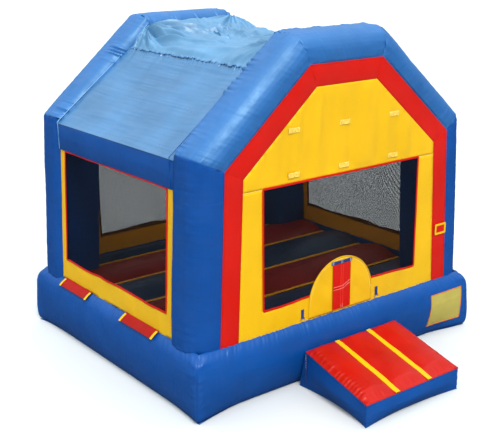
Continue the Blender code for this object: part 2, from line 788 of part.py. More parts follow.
def make_slider(word, y):
    """A zip slider that runs along the base's shoulder under a flap."""
    width, length, height = SLIDER
    (low_in, low_z), (high_in, high_z) = BASE_SIDE[SLIDER_SLOPE:SLIDER_SLOPE + 2]
    tilt = math.atan2(high_z - low_z, high_in - low_in)
    surface = high_z - (high_in - SLIDER_IN) * math.tan(tilt)
    x = -(BASE_WIDTH / 2 - SLIDER_IN)
    across = Vector((-math.cos(tilt), 0.0, -math.sin(tilt)))
    upwards = Vector((-math.sin(tilt), 0.0, math.cos(tilt)))
    middle = Vector((x, 0.0, surface)) + upwards * SLIDER_LIFT
    rings = []
    for end in (-length / 2, length / 2):
        ring = []
        for a, b in ((-width / 2, 0.0), (width / 2, 0.0), (width / 4, height), (-width / 4, height)):
            point = middle + across * a + upwards * b
            ring.append((point.x, y + end, point.z))
        rings.append(ring)
    solid(f"zip_slider_{word}", rings, "ring_metal", (x, y, surface))


def make_sleeve():
    """The open sleeve that the blower is tied into, at the back."""
    start = BASE_DEPTH / 2 + GAP
    centre = (SLEEVE_X, SLEEVE_RADIUS + SLEEVE_OFF_GROUND)
    outer = arc(centre, SLEEVE_RADIUS, 0, 360, 24)[:-1]
    rings = []
    for circle in (outer, inset(outer, SLEEVE_SHEET)):
        rings += [[(x, y, z) for x, z in circle] for y in (start, start + SLEEVE_LENGTH)]
    open_skin("blower_sleeve", rings[:2], rings[2:], "blue_vinyl")


clear_scene()
make_base()
make_floor()
make_arches()
make_trims()
make_beams()
make_front_wall()
make_back_wall()
make_side_walls()
make_door()
make_roof()
make_step_body()
make_step_deck()
make_step_strap()
make_tie_straps()
make_pocket_and_patch()
make_deflation_flaps()
make_sleeve()
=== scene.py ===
"""Looks of the inflatable bounce house: sewn vinyl skins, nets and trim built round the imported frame.

Metres, +Z up, entrance towards -Y. Each piece is built in the frame's own coordinates.
"""

import math

import bmesh
import bpy
import numpy as np
from mathutils import Matrix, Vector
from mathutils.geometry import delaunay_2d_cdt


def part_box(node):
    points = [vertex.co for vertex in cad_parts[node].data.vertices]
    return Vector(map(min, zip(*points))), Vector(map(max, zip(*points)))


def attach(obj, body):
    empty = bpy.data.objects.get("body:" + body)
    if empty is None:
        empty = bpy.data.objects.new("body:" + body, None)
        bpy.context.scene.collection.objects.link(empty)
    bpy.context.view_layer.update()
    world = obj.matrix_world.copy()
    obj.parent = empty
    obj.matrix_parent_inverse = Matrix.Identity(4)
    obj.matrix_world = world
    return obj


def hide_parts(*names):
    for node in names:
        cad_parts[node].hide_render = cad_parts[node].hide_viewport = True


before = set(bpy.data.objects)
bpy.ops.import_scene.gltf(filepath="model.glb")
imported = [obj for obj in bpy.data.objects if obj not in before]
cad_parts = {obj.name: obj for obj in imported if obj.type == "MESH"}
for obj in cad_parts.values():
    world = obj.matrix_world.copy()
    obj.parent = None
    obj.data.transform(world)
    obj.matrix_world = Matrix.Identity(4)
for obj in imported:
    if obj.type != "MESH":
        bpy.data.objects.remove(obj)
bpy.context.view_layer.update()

# ---- Dimensions, read from the frame where a node shows them ---------------------------------

HANDS = (("left", -1), ("right", 1))
HALF_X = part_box("base_tube_right")[1].x
HALF_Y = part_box("base_tube_back")[1].y
BASE_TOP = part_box("base_tube_front")[1].z
# The base tubes are drawn narrower than their solids, and the bounce floor reaches over them.
BASE_TUBE = 0.13
FRONT = -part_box("column_front_left")[0].y
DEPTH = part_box("column_front_left")[1].y + FRONT
BAY = FRONT - DEPTH
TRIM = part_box("trim_top")[1].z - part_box("trim_top")[0].z
WALL_FACE = -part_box("front_window_frame")[0].y
PATCH_FACE = -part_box("door_patch")[0].y
WINDOW_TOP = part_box("front_window_frame")[1].z
SIDE_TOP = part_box("left_window_frame")[1].z
# The door's slit and the windows' openings, in metres.
SLIT_TOP = 1.39
SLIT_LOW = 0.86
SLIT_HALF = 0.13
WINDOW_LOW = 1.075
WINDOW_HALF_X = 1.258
WINDOW_HALF_Y = 1.21
# The arches: how thick their tubes are, their inner corners at (x, z), and the columns' lean.
TUBE = 0.60
EAVE = (1.53, 2.69)
APEX = (0.474, 3.60)
SPLAY = 0.09
# The side walls' and eave bands' outer faces, and the roof sheets' edges at (x, z).
WALL_X = 2.085
BEAM_INNER, BEAM_X = 1.80, 2.10
ROOF_LOW = (2.10, 2.925)
ROOF_START = (2.114, 2.912)
ROOF_SEAM = (0.98, 3.795)
ROOF_CORNER = (0.70, 4.06)
ROOF_SAG = 0.18
DOOR_X = (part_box("door_patch")[0].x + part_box("door_patch")[1].x) / 2
DOOR_RADIUS = (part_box("door_patch")[1].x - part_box("door_patch")[0].x) / 2
DOOR_CENTRE_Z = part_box("door_patch")[1].z - DOOR_RADIUS
# Half of what lies between two columns, and how far walls and columns reach into the base.
WALL_REACH = 1.37
WALL_FOOT = BASE_TOP - 0.045
COLUMN_FOOT = BASE_TOP - 0.050
BINDING = 0.026


# ---- Small numerical tools -------------------------------------------------------------------


def noise1(at, seed):
    """Smooth noise from -1 to 1 along one axis, with a period of 512."""
    table = np.random.default_rng(seed).uniform(-1, 1, 512)
    at = np.asarray(at, float)
    low = np.floor(at).astype(int)
    share = at - low
    share = share * share * (3 - 2 * share)
    return table[low % 512] * (1 - share) + table[(low + 1) % 512] * share


def noise2(a, b, seed):
    """Smooth noise from -1 to 1 over two axes."""
    table = np.random.default_rng(seed).uniform(-1, 1, (128, 128))
    a, b = np.broadcast_arrays(np.asarray(a, float), np.asarray(b, float))
    low_a, low_b = np.floor(a).astype(int), np.floor(b).astype(int)
    u, v = a - low_a, b - low_b
    u, v = u * u * (3 - 2 * u), v * v * (3 - 2 * v)
    near_a, far_a = low_a % 128, (low_a + 1) % 128
    near_b, far_b = low_b % 128, (low_b + 1) % 128
    low = table[near_a, near_b] * (1 - u) + table[far_a, near_b] * u
    high = table[near_a, far_b] * (1 - u) + table[far_a, far_b] * u
    return low * (1 - v) + high * v


def fade(distance, reach):
    """1 at a seam, falling away over a reach."""
    return np.exp(-np.abs(distance) / reach)


def stacked(x, y, z):
    """Points from three coordinates, each an array or a number."""
    return np.stack(np.broadcast_arrays(x, y, z), axis=-1)


def smooth_step(value):
    """0 to 1 as a value goes from 0 to 1, level at both ends."""
    value = np.clip(value, 0.0, 1.0)
    return value * value * (3 - 2 * value)


def resample(points, spacing, closed=False):
    """Evenly spaced points along a polyline."""
    points = np.asarray(points, float)
    if closed:
        points = np.vstack([points, points[:1]])
    reach = np.concatenate([[0.0], np.cumsum(np.linalg.norm(np.diff(points, axis=0), axis=1))])
    count = max(2, int(round(reach[-1] / spacing)))
    at = np.linspace(0.0, reach[-1], count + 1)
    made = np.stack([np.interp(at, reach, axis) for axis in points.T], axis=1)
    return made[:-1] if closed else made


def rectangle(low_a, low_b, high_a, high_b):
    """Four corners, anticlockwise from the low one."""
    return [(low_a, low_b), (high_a, low_b), (high_a, high_b), (low_a, high_b)]


def node_name(*parts):
    return "_".join(filter(None, parts))


def arc(centre, radius, start, end, steps):
    turn = np.radians(np.linspace(start, end, steps + 1))
    return [(centre[0] + radius * math.cos(a), centre[1] + radius * math.sin(a)) for a in turn]


def rounded_outline(width, depth, radii, steps=8):
    """A rectangle with one radius for each corner, anticlockwise from (0, 0)."""
    corners = [(0.0, 0.0, 180), (width, 0.0, 270), (width, depth, 0), (0.0, depth, 90)]
    points = []
    for (x, y, start), radius in zip(corners, radii):
        centre = (radius if x == 0.0 else x - radius, radius if y == 0.0 else y - radius)
        points += arc(centre, radius, start, start + 90, steps)
    return points


def lengthwise(steps, ends=0.5):
    """Shares from 0 to 1, closer together towards both ends."""
    even = np.linspace(0.0, 1.0, steps)
    return even * (1 - ends) + (0.5 - 0.5 * np.cos(math.pi * even)) * ends


def normals_of(grid, wrap=False):
    """Unit normals of a grid of points, rows by columns."""
    along = np.gradient(grid, axis=0)
    if wrap:
        across = np.roll(grid, -1, axis=1) - np.roll(grid, 1, axis=1)
    else:
        across = np.gradient(grid, axis=1)
    normal = np.cross(along, across)
    return normal / np.maximum(np.linalg.norm(normal, axis=2, keepdims=True), 1e-9)


def outward_normals(grid):
    """Normals of a tube's grid, facing away from its middle."""
    normal = normals_of(grid, wrap=True)
    away = grid - grid.mean(axis=1, keepdims=True)
    return normal * np.sign((normal * away).sum(axis=2).mean())


# ---- Materials -------------------------------------------------------------------------------


class Look:
    """A material's node tree, built by short calls."""

    def __init__(self, name, roughness, specular=0.5, metallic=0.0, tint=(1.0, 1.0, 1.0)):
        self.made = bpy.data.materials.new(name)
        self.made.use_nodes = True
        self.tree = self.made.node_tree
        self.shader = self.tree.nodes["Principled BSDF"]
        self.shader.inputs["Roughness"].default_value = roughness
        self.shader.inputs["Specular IOR Level"].default_value = specular
        self.shader.inputs["Specular Tint"].default_value = (*tint, 1.0)
        self.shader.inputs["Metallic"].default_value = metallic
        self.place = self.tree.nodes.new("ShaderNodeTexCoord").outputs["Object"]
        self.normal = None

    def link(self, source, target):
        self.tree.links.new(source, target)

    def stretched(self, scale):
        """Object coordinates with a scale for each axis."""
        node = self.tree.nodes.new("ShaderNodeMapping")
        node.inputs["Scale"].default_value = scale
        self.link(self.place, node.inputs["Vector"])
        return node.outputs["Vector"]

    def noise(self, scale, detail=3.0, stretch=(1.0, 1.0, 1.0)):
        node = self.tree.nodes.new("ShaderNodeTexNoise")
        node.inputs["Scale"].default_value = scale
        node.inputs["Detail"].default_value = detail
        self.link(self.stretched(stretch), node.inputs["Vector"])
        return node.outputs["Fac"]

    def threads(self, direction, scale):
        node = self.tree.nodes.new("ShaderNodeTexWave")
        node.bands_direction = direction
        node.inputs["Scale"].default_value = scale
        node.inputs["Distortion"].default_value = 0.0
        self.link(self.place, node.inputs["Vector"])
        return node.outputs["Fac"]

    def maths(self, operation, first, second):
        node = self.tree.nodes.new("ShaderNodeMath")
        node.operation = operation
        for socket, value in zip(node.inputs, (first, second)):
            if isinstance(value, (int, float)):
                socket.default_value = value
            else:
                self.link(value, socket)
        return node.outputs["Value"]

    def ramp(self, factor, stops):
        """Colours, or greys, at places from 0 to 1."""
        node = self.tree.nodes.new("ShaderNodeValToRGB")
        stops = [(at, value if hasattr(value, "__len__") else (value,) * 3) for at, value in stops]
        for element, (at, colour) in zip(node.color_ramp.elements, stops):
            element.position = at
            element.color = (*colour, 1.0)
        for at, colour in stops[2:]:
            node.color_ramp.elements.new(at).color = (*colour, 1.0)
        self.link(factor, node.inputs["Fac"])
        return node.outputs["Color"]

    def colour(self, output):
        self.link(output, self.shader.inputs["Base Color"])

    def roughness(self, output):
        self.link(output, self.shader.inputs["Roughness"])

    def bump(self, height, strength, distance):
        node = self.tree.nodes.new("ShaderNodeBump")
        node.inputs["Strength"].default_value = strength
        node.inputs["Distance"].default_value = distance
        self.link(height, node.inputs["Height"])
        if self.normal is not None:
            self.link(self.normal, node.inputs["Normal"])
        self.normal = node.outputs["Normal"]
        self.link(self.normal, self.shader.inputs["Normal"])

    def weave(self, pitch, strength, distance):
        """Threads along all three axes, with a pitch in metres."""
        scale = WAVES / pitch
        both = self.maths("ADD", self.threads("X", scale), self.threads("Z", scale))
        self.bump(self.maths("ADD", both, self.threads("Y", scale)), strength, distance)


# A wave texture of scale 1 has a period of about 0.31 m, so this turns a pitch into its scale.
WAVES = 1 / 3.2


def shades(colour, spread):
    """A darker, a plain and a lighter value of a colour, for a ramp over noise."""
    return [
        (0.30, tuple(c * (1 - spread) for c in colour)),
        (0.70, tuple(min(1.0, c * (1 + spread)) for c in colour)),
        (0.50, colour),
    ]


def vinyl(name, colour, tint, spread=0.10, rough=0.38, specular=0.5, wrinkle=0.3, stretch=(1, 1, 1)):
    """Coated fabric: mottled colour, a scrim's weave, fine wrinkles and uneven gloss."""
    look = Look(name, rough, specular, tint=tint)
    look.colour(look.ramp(look.noise(1.6, 6.0), shades(colour, spread)))
    look.roughness(look.ramp(look.noise(5.0, 4.0), [(0.3, rough - 0.07), (0.7, rough + 0.10)]))
    look.weave(0.0022, 0.10, 0.0004)
    look.bump(look.noise(7.0, 4.0, stretch), wrinkle, 0.012)
    look.bump(look.noise(30.0, 3.0, stretch), wrinkle * 0.6, 0.0035)
    return look.made


def webbing(name, colour):
    look = Look(name, 0.7, 0.25)
    look.colour(look.ramp(look.noise(60.0, 2.0), shades(colour, 0.25)))
    look.weave(0.0030, 0.7, 0.0009)
    return look.made


NET_PITCH = 0.0042


def netting(name, across):
    """Black knotless net: threads both ways cover most of it, and the rest is open."""
    look = Look(name, 0.8, 0.05)
    look.colour(look.ramp(look.noise(2.0, 3.0), shades((0.004, 0.004, 0.0045), 0.3)))
    pitch_scale = WAVES / NET_PITCH
    crossing = look.maths("MAXIMUM", look.threads("Z", pitch_scale), look.threads(across, pitch_scale))
    worn = look.maths("MULTIPLY", look.noise(2.5, 2.0), 0.05)
    cover = look.ramp(look.maths("ADD", crossing, worn), [(0.60, 0.10), (0.80, 1.0)])
    look.link(cover, look.shader.inputs["Alpha"])
    return look.made


def metal(name, colour, rough):
    look = Look(name, rough, 0.5, 1.0)
    look.colour(look.ramp(look.noise(120.0, 3.0), shades(colour, 0.12)))
    look.roughness(look.ramp(look.noise(60.0, 3.0), [(0.3, rough - 0.06), (0.7, rough + 0.16)]))
    look.bump(look.noise(300.0, 2.0), 0.15, 0.0005)
    return look.made


BLUE_GLOSS, RED_GLOSS, YELLOW_GLOSS = (0.75, 0.88, 1.0), (1.0, 0.6, 0.5), (1.0, 0.9, 0.6)
ROOF_GRAIN = (2.2, 0.35, 1.8)
BLUE = vinyl("blue_vinyl", (0.0015, 0.054, 0.240), BLUE_GLOSS, specular=0.32)
# A slightly darker copy of the blue vinyl for the upright columns: painted shade on their side-lit faces.
# Its wrinkles run upright.
SHADED_UPRIGHT_BLUE = vinyl("upright_blue_painted_shade", (0.0010, 0.050, 0.230), BLUE_GLOSS, specular=0.28,
                     stretch=(0.7, 0.7, 4.0))
RED = vinyl("red_vinyl", (0.50, 0.0035, 0.0006), RED_GLOSS, 0.08, specular=0.35)
YELLOW = vinyl("yellow_vinyl", (0.67, 0.37, 0.0012), YELLOW_GLOSS, 0.05, 0.45, 0.3)
ROOF = vinyl("roof_vinyl", (0.034, 0.130, 0.278), (0.9, 0.96, 1.0), 0.16, rough=0.34,
             specular=0.65, wrinkle=0.24, stretch=ROOF_GRAIN)
# A lighter copy of the roof vinyl for the top sheet: painted light from the sky on this flatter,
# up-facing sheet.
SKY_LIT_ROOF_TOP = vinyl("roof_top_vinyl_painted_light", (0.062, 0.185, 0.335), (0.9, 0.97, 1.0), 0.16, rough=0.42,
                 specular=0.8, wrinkle=0.10, stretch=ROOF_GRAIN)
# A lighter copy of the blue vinyl for the arches' slopes and top: painted light from the sky on these
# up-facing tubes.
SKY_LIT_ARCH_BLUE = vinyl("arch_blue_painted_light", (0.0060, 0.082, 0.278), (0.60, 0.92, 1.0), rough=0.50, specular=0.9)
# A darker copy of the red vinyl for the step's up-facing deck: painted shade that holds back the light
# falling on it.
SHADED_DECK_RED = vinyl("deck_red_painted_shade", (0.38, 0.0035, 0.0008), RED_GLOSS, 0.12, specular=0.3)
# A darker copy of the red vinyl for the zip flaps on the base's side, with less gloss: painted shade.
SHADED_FLAP_RED = vinyl("flap_red_painted_shade", (0.30, 0.0035, 0.0008), RED_GLOSS, 0.12, specular=0.15)
# Darker, greyer copies of the blue and red vinyl for the floor tubes inside the room: painted shade.
SHADED_FLOOR_BLUE = vinyl("floor_blue_painted_shade", (0.012, 0.036, 0.100), BLUE_GLOSS, 0.2)
SHADED_FLOOR_RED = vinyl("floor_red_painted_shade", (0.20, 0.008, 0.004), RED_GLOSS, 0.2)
NET = netting("net", "X")
SIDE_NET = netting("side_net", "Y")
PIPING = vinyl("pale_piping", (0.13, 0.31, 0.56), (1.0, 1.0, 1.0), 0.08)
NAVY = webbing("navy_webbing", (0.014, 0.035, 0.17))
WHITE = webbing("white_thread", (0.75, 0.78, 0.82))
PALE_THREAD = webbing("pale_thread", (0.95, 0.80, 0.35))
HOOK = webbing("hook_fabric", (0.80, 0.50, 0.06))
DARK = webbing("dark_tape", (0.012, 0.012, 0.016))
PATCH = vinyl("care_patch", (0.36, 0.29, 0.06), (1.0, 0.9, 0.5), 0.20, 0.5)
METAL = metal("ring_metal", (0.86, 0.86, 0.88), 0.34)


# ---- Piece makers ----------------------------------------------------------------------------


def add_piece(name, points, faces, look, slot, body="house", replaces=(), solid=True):
    """A mesh piece that rides on a body. A solid one gets its faces turned outwards."""
    mesh = bpy.data.meshes.new(name)
    mesh.from_pydata(np.asarray(points, float).reshape(-1, 3).tolist(), [], faces)
    if solid:
        tool = bmesh.new()
        tool.from_mesh(mesh)
        bmesh.ops.recalc_face_normals(tool, faces=tool.faces[:])
        tool.to_mesh(mesh)
        tool.free()
    mesh.materials.append(look)
    mesh.shade_smooth()
    mesh.set_sharp_from_angle(angle=math.radians(42))
    made = bpy.data.objects.new(name, mesh)
    bpy.context.scene.collection.objects.link(made)
    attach(made, body)
    if replaces:
        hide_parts(*replaces)
    return made


def grid_faces(rows, columns, wrap, start=0):
    last = columns if wrap else columns - 1
    row = start + np.arange(rows - 1)[:, None] * columns
    here = np.arange(last)[None, :]
    after = (here + 1) % columns
    quads = np.stack([row + here, row + after, row + columns + after, row + columns + here], -1)
    return quads.reshape(-1, 4).tolist()


def tube_piece(name, grid, look, slot, **more):
    """A closed chamber from rings of points, with flat ends."""
    rows, columns = grid.shape[:2]
    faces = grid_faces(rows, columns, True)
    faces.append(list(range(columns)))
    faces.append([(rows - 1) * columns + i for i in range(columns)])
    return add_piece(name, grid, faces, look, slot, **more)


def shell(top, under):
    """Points and faces of a closed sheet, from the grids of its outer and its inner face."""
    rows, columns = top.shape[:2]
    count = rows * columns
    faces = grid_faces(rows, columns, False) + grid_faces(rows, columns, False, count)
    left = [i * columns for i in range(rows)]
    right = [i * columns + columns - 1 for i in range(rows)]
    low, high = list(range(columns)), [(rows - 1) * columns + i for i in range(columns)]
    for edge in (low, right, high[::-1], left[::-1]):
        faces += [[a, b, b + count, a + count] for a, b in zip(edge, edge[1:])]
    return np.concatenate([top.reshape(-1, 3), under.reshape(-1, 3)]), faces


def sheet_piece(name, grid, thickness, look, slot, **more):
    """A thin closed sheet: the grid is its outer face, and its inner face lies under it."""
    points, faces = shell(grid, grid - normals_of(grid) * thickness)
    return add_piece(name, points, faces, look, slot, **more)


def inside(points, outline):
    """Whether each point lies in a closed outline, by counting crossings."""
    found = np.zeros(len(points), bool)
    ahead = np.roll(outline, -1, axis=0)
    for (ax, ay), (bx, by) in zip(outline, ahead):
        if ay == by:
            continue
        spans = (points[:, 1] < ay) != (points[:, 1] < by)
        cross = ax + (points[:, 1] - ay) / (by - ay) * (bx - ax)
        found ^= spans & (points[:, 0] < cross)
    return found


def edge_distance(points, outlines):
    """Distance from each point to the nearest outline."""
    nearest = np.full(len(points), 1e9)
    for outline in outlines:
        for a, b in zip(outline, np.roll(outline, -1, axis=0)):
            along = b - a
            share = np.clip((points - a) @ along / max(along @ along, 1e-12), 0, 1)
            gap = np.linalg.norm(points - a - share[:, None] * along, axis=1)
            nearest = np.minimum(nearest, gap)
    return nearest


def panel(name, outline, place, look, slot, holes=(), spacing=0.035, thickness=0.004,
          relief=None, **more):
    """A sewn panel cut to an outline, with holes, and put in place by a function.

    place(a, b, rise) gives points in space, and relief(a, b, edge) the rise at each point.
    """
    corners = [np.asarray(o, float) for o in (outline, *holes)]
    edges = []
    for loop in corners:
        parts = [resample([a, b], spacing)[:-1] for a, b in zip(loop, np.roll(loop, -1, axis=0))]
        edges.append(np.vstack(parts))
    low, high = corners[0].min(axis=0), corners[0].max(axis=0)
    a, b = np.meshgrid(np.arange(low[0], high[0], spacing), np.arange(low[1], high[1], spacing * 0.87))
    a[::2] += spacing / 2
    inner = np.stack([a.ravel(), b.ravel()], axis=1)
    inner += np.random.default_rng(7).uniform(-0.1, 0.1, inner.shape) * spacing
    kept = inside(inner, corners[0]) & (edge_distance(inner, corners) > 0.55 * spacing)
    for hole in corners[1:]:
        kept &= ~inside(inner, hole)
    flat = np.vstack([*edges, inner[kept]])
    borders, start = [], 0
    for loop in edges:
        count = len(loop)
        borders += [(start + i, start + (i + 1) % count) for i in range(count)]
        start += count
    found = delaunay_2d_cdt([Vector(p) for p in flat], borders, [], 0, 1e-7)
    flat = np.array([tuple(p) for p in found[0]])
    faces = np.array(found[2])
    middle = flat[faces].mean(axis=1)
    used = inside(middle, corners[0])
    for hole in corners[1:]:
        used &= ~inside(middle, hole)
    faces = faces[used]
    rise = 0.0 if relief is None else relief(flat[:, 0], flat[:, 1], edge_distance(flat, corners))
    made = add_piece(name, place(flat[:, 0], flat[:, 1], rise), faces.tolist(), look, slot, **more)
    thicken(made, thickness)
    return made


def thicken(obj, thickness):
    solid = obj.modifiers.new("thickness", "SOLIDIFY")
    solid.thickness = thickness
    solid.offset = -1.0


def path_frames(path, facing, closed):
    path = np.asarray(path, float)
    if closed:
        along = np.roll(path, -1, axis=0) - np.roll(path, 1, axis=0)
    else:
        along = np.gradient(path, axis=0)
    along /= np.linalg.norm(along, axis=1, keepdims=True)
    facing = np.broadcast_to(np.asarray(facing, float), path.shape)
    side = np.cross(along, facing)
    side /= np.maximum(np.linalg.norm(side, axis=1, keepdims=True), 1e-9)
    return path, along, side, np.cross(side, along)


def ribbon(name, path, facing, width, height, look, slot, closed=False, **more):
    """A strip with round edges along a path, lying flat against a surface that faces a way."""
    path, _, side, up = path_frames(path, facing, closed)
    turn = np.linspace(0, 2 * math.pi, 12, endpoint=False)
    square = lambda value: np.sign(value) * np.abs(value) ** 0.6
    across = width / 2 * square(np.cos(turn))
    over = height / 2 * square(np.sin(turn))
    grid = path[:, None] + side[:, None] * across[None, :, None] + up[:, None] * over[None, :, None]
    if not closed:
        return tube_piece(name, grid, look, slot, **more)
    rows, columns = grid.shape[:2]
    faces = grid_faces(rows + 1, columns, True)
    faces = [[i % (rows * columns) for i in face] for face in faces]
    return add_piece(name, grid, faces, look, slot, **more)


def stitches(name, paths, facing, look=WHITE, pitch=0.022, length=0.013, width=0.0032, lift=0.001,
             slot="webbing", **more):
    """Rows of raised thread along paths. Each stitch is a small block with a narrower top."""
    points, faces = [], []
    for path in paths:
        path, along, side, up = path_frames(resample(path, pitch), facing, False)
        for at, t, s, n in zip(path, along, side, up):
            start = len(points)
            for rise, share in ((-0.6, 1.0), (1.0, 0.6)):
                for a, b in ((-1, -1), (1, -1), (1, 1), (-1, 1)):
                    offset = t * (a * length / 2 * (0.5 + share / 2)) + s * (b * width / 2 * share)
                    points.append(at + offset + n * (lift * rise + lift))
            faces.append([start + i for i in (3, 2, 1, 0)])
            faces.append([start + i for i in (4, 5, 6, 7)])
            for i in range(4):
                j = (i + 1) % 4
                faces.append([start + i, start + j, start + 4 + j, start + 4 + i])
    return add_piece(name, points, faces, look, slot, solid=False, **more)


# ---- Base ------------------------------------------------------------------------------------


def base_profile():
    """Points round a base tube: how far in from its outer side, and height."""
    shape = [
        (BASE_TUBE, 0.012), (0.061, 0.010), (0.031, 0.045), (0.014, 0.12), (0.004, 0.22), (0.0, 0.34),
        (0.0, 0.46), (0.004, 0.57), (0.016, 0.66), (0.040, 0.725), (0.076, 0.768), (0.106, 0.792),
        (BASE_TUBE, 0.804),
    ]
    points = resample(shape, 0.018, closed=True)
    for _ in range(3):
        points = (np.roll(points, 1, axis=0) + 2 * points + np.roll(points, -1, axis=0)) / 4
    return points


BASE_OUTLINE = base_profile()
CORNER_EAR = 0.036
CORNER_ROUND = 0.016


def pulled_in(to_corner, height, amount):
    """How far a base wall's foot is drawn in from its corners, which stick out like ears."""
    foot = np.clip(1 - height / 0.48, 0, 1) ** 1.3
    return foot * (amount * smooth_step(to_corner / 0.70) - CORNER_EAR * fade(to_corner, 0.09))


def outer_part(inwards):
    """1 on the outside of a base tube, and 0 at its inner side."""
    return smooth_step((BASE_TUBE - inwards) / 0.05)


def seam_crease(along, seed):
    """Folds that run away from a base wall's top seam."""
    return np.clip(noise1(along / 0.030, seed + 4), -0.4, 1) + 0.5 * noise1(along / 0.017, seed + 5)


def base_wall_shift(share, half_along, inwards, z, amount, seed):
    """Sideways shift of a base wall's outer side, at a share from -1 to 1 along it."""
    to_corner = (1 - np.abs(share)) * half_along
    girth = np.where(z > 0.76, 0.56 - inwards, 1.25 - z)
    along = share * half_along
    belly = 0.022 * np.sin(np.pi * np.clip(z / BASE_TOP, 0, 1)) * (1 - fade(to_corner, 0.12))
    pucker = 0.007 * fade(to_corner - 0.02, 0.060) * noise2(girth / 0.022, to_corner / 0.06, seed)
    pucker = pucker + 0.008 * fade(to_corner, 0.17) * noise2(girth / 0.045, to_corner / 0.25, seed + 1)
    soft = 0.005 * noise2(along / 0.45, girth / 0.30, seed + 2)
    foot = 0.004 * fade(z, 0.05) * noise1(along / 0.05, seed + 3)
    reach_down = 0.13 + 0.10 * noise1(along / 0.11, seed + 6)
    hang = 0.0062 if amount == FRONT_PULL else 0.0030
    patchy = 0.55 + 0.45 * noise1(along / 0.33, seed + 9)
    hanging = hang * patchy * fade(0.79 - z, reach_down) * seam_crease(along, seed)
    hanging = hanging * (1 - fade(to_corner, 0.10))
    crinkle = 0.0012 * noise2(along / 0.030, girth / 0.18, seed + 7)
    moved = belly + pucker + soft + foot + hanging + crinkle
    moved = moved * (1 - fade(to_corner, 0.012)) - CORNER_ROUND * fade(to_corner, 0.018)
    return outer_part(inwards) * (moved - pulled_in(to_corner, z, amount))


def base_wall(name, node, half_across, half_along, turn, amount, seed):
    """One side of the base, mitred at its ends, with gathers at its corners and along its top."""
    share = 0.4 * np.sin(np.linspace(-1, 1, 420) * math.pi / 2) + 0.6 * np.linspace(-1, 1, 420)
    inwards, z = BASE_OUTLINE[:, 0][None, :], BASE_OUTLINE[:, 1][None, :]
    share = share[:, None]
    along = share * half_along
    shift = base_wall_shift(share, half_along, inwards, z, amount, seed)
    to_corner = (1 - np.abs(share)) * half_along
    shoulder = np.exp(-(((inwards - 0.086) / 0.10) ** 2)) * smooth_step((z - 0.60) / 0.15)
    top = z + shoulder * 0.006 * seam_crease(along, seed) * (1 - fade(to_corner, 0.12))
    dimple = 0.020 * fade(to_corner, 0.07)
    dimple = dimple + 0.010 * fade(to_corner, 0.2) * noise1(to_corner / 0.05, seed + 8)
    top = top - dimple * smooth_step((z - 0.62) / 0.15) * outer_part(inwards)
    corner = outer_part(inwards) * (-CORNER_ROUND - pulled_in(0.0, z, amount)) * fade(to_corner, 0.12)
    across, along = half_across - inwards + shift, share * (half_along - inwards - 0.0005 + corner)
    grid = stacked(*turn(across, along, top))
    piece = tube_piece(name, grid, BLUE, "blue_vinyl", replaces=(node,))


def base_front_y(x, z, lift=0.0):
    """The front wall's outer face at a place, for what is sewn to it."""
    side = BASE_OUTLINE[(BASE_OUTLINE[:, 0] < 0.106) & (BASE_OUTLINE[:, 1] > 0.05)]
    side = side[np.argsort(side[:, 1])]
    inwards = np.interp(z, side[:, 1], side[:, 0])
    share = np.asarray(x) / HALF_X
    shift = base_wall_shift(share, HALF_X, inwards, np.asarray(z), FRONT_PULL, 11)
    return -(HALF_Y - inwards + shift) - lift


FRONT_PULL, SIDE_PULL = 0.092, 0.032


def make_base():
    for side, turn, seed in (("front", lambda a, t, z: (t, -a, z), 11),
                             ("back", lambda a, t, z: (t, a, z), 21)):
        base_wall(f"base_{side}", f"base_tube_{side}", HALF_Y, HALF_X, turn, FRONT_PULL, seed)
    for side, turn, seed in (("left", lambda a, t, z: (-a, t, z), 31),
                             ("right", lambda a, t, z: (a, t, z), 41)):
        base_wall(f"base_{side}", f"base_tube_{side}", HALF_X, HALF_Y, turn, SIDE_PULL, seed)
    outline = []
    for i, (half_along, half_across, pull) in enumerate(
            ((HALF_X, HALF_Y, FRONT_PULL), (HALF_Y, HALF_X, SIDE_PULL)) * 2):
        for share in np.linspace(-1, 1, 24)[:-1]:
            reach = half_across - 0.05 - pulled_in((1 - abs(share)) * half_along, 0.0, pull)
            x, y = share * (half_along - 0.035), -reach
            for _ in range(i):
                x, y = -y, x
            outline.append((x, y))
    panel("ground_cloth", outline, lambda a, b, rise: stacked(a, b, 0.005), BLUE,
          "blue_vinyl", spacing=0.12, thickness=0.004, replaces=("ground_sheet",))
    corner_welts()


def corner_welts():
    """The raised seam down each corner of the base."""
    for i, (sx, sy) in enumerate(((-1, -1), (1, -1), (1, 1), (-1, 1))):
        side = [(inwards, z) for inwards, z in BASE_OUTLINE if inwards < BASE_TUBE - 0.012]
        side.sort(key=lambda p: math.atan2(p[1] - 0.4, 0.36 - p[0]))
        path = []
        for inwards, z in side:
            drop = 0.020 * min(max((z - 0.62) / 0.15, 0.0), 1.0)
            back = inwards + 0.014 - CORNER_EAR * max(1 - z / 0.48, 0.0) ** 1.3
            path.append((sx * (HALF_X - back), sy * (HALF_Y - back), z - drop))
        facing = np.array([(sx, sy, 0.6 if z > 0.7 else 0.0) for _, z in side], float)
        ribbon(f"corner_welt_{i + 1}", path, facing, 0.007, 0.008, BLUE, "blue_vinyl")


# ---- Bounce floor ----------------------------------------------------------------------------


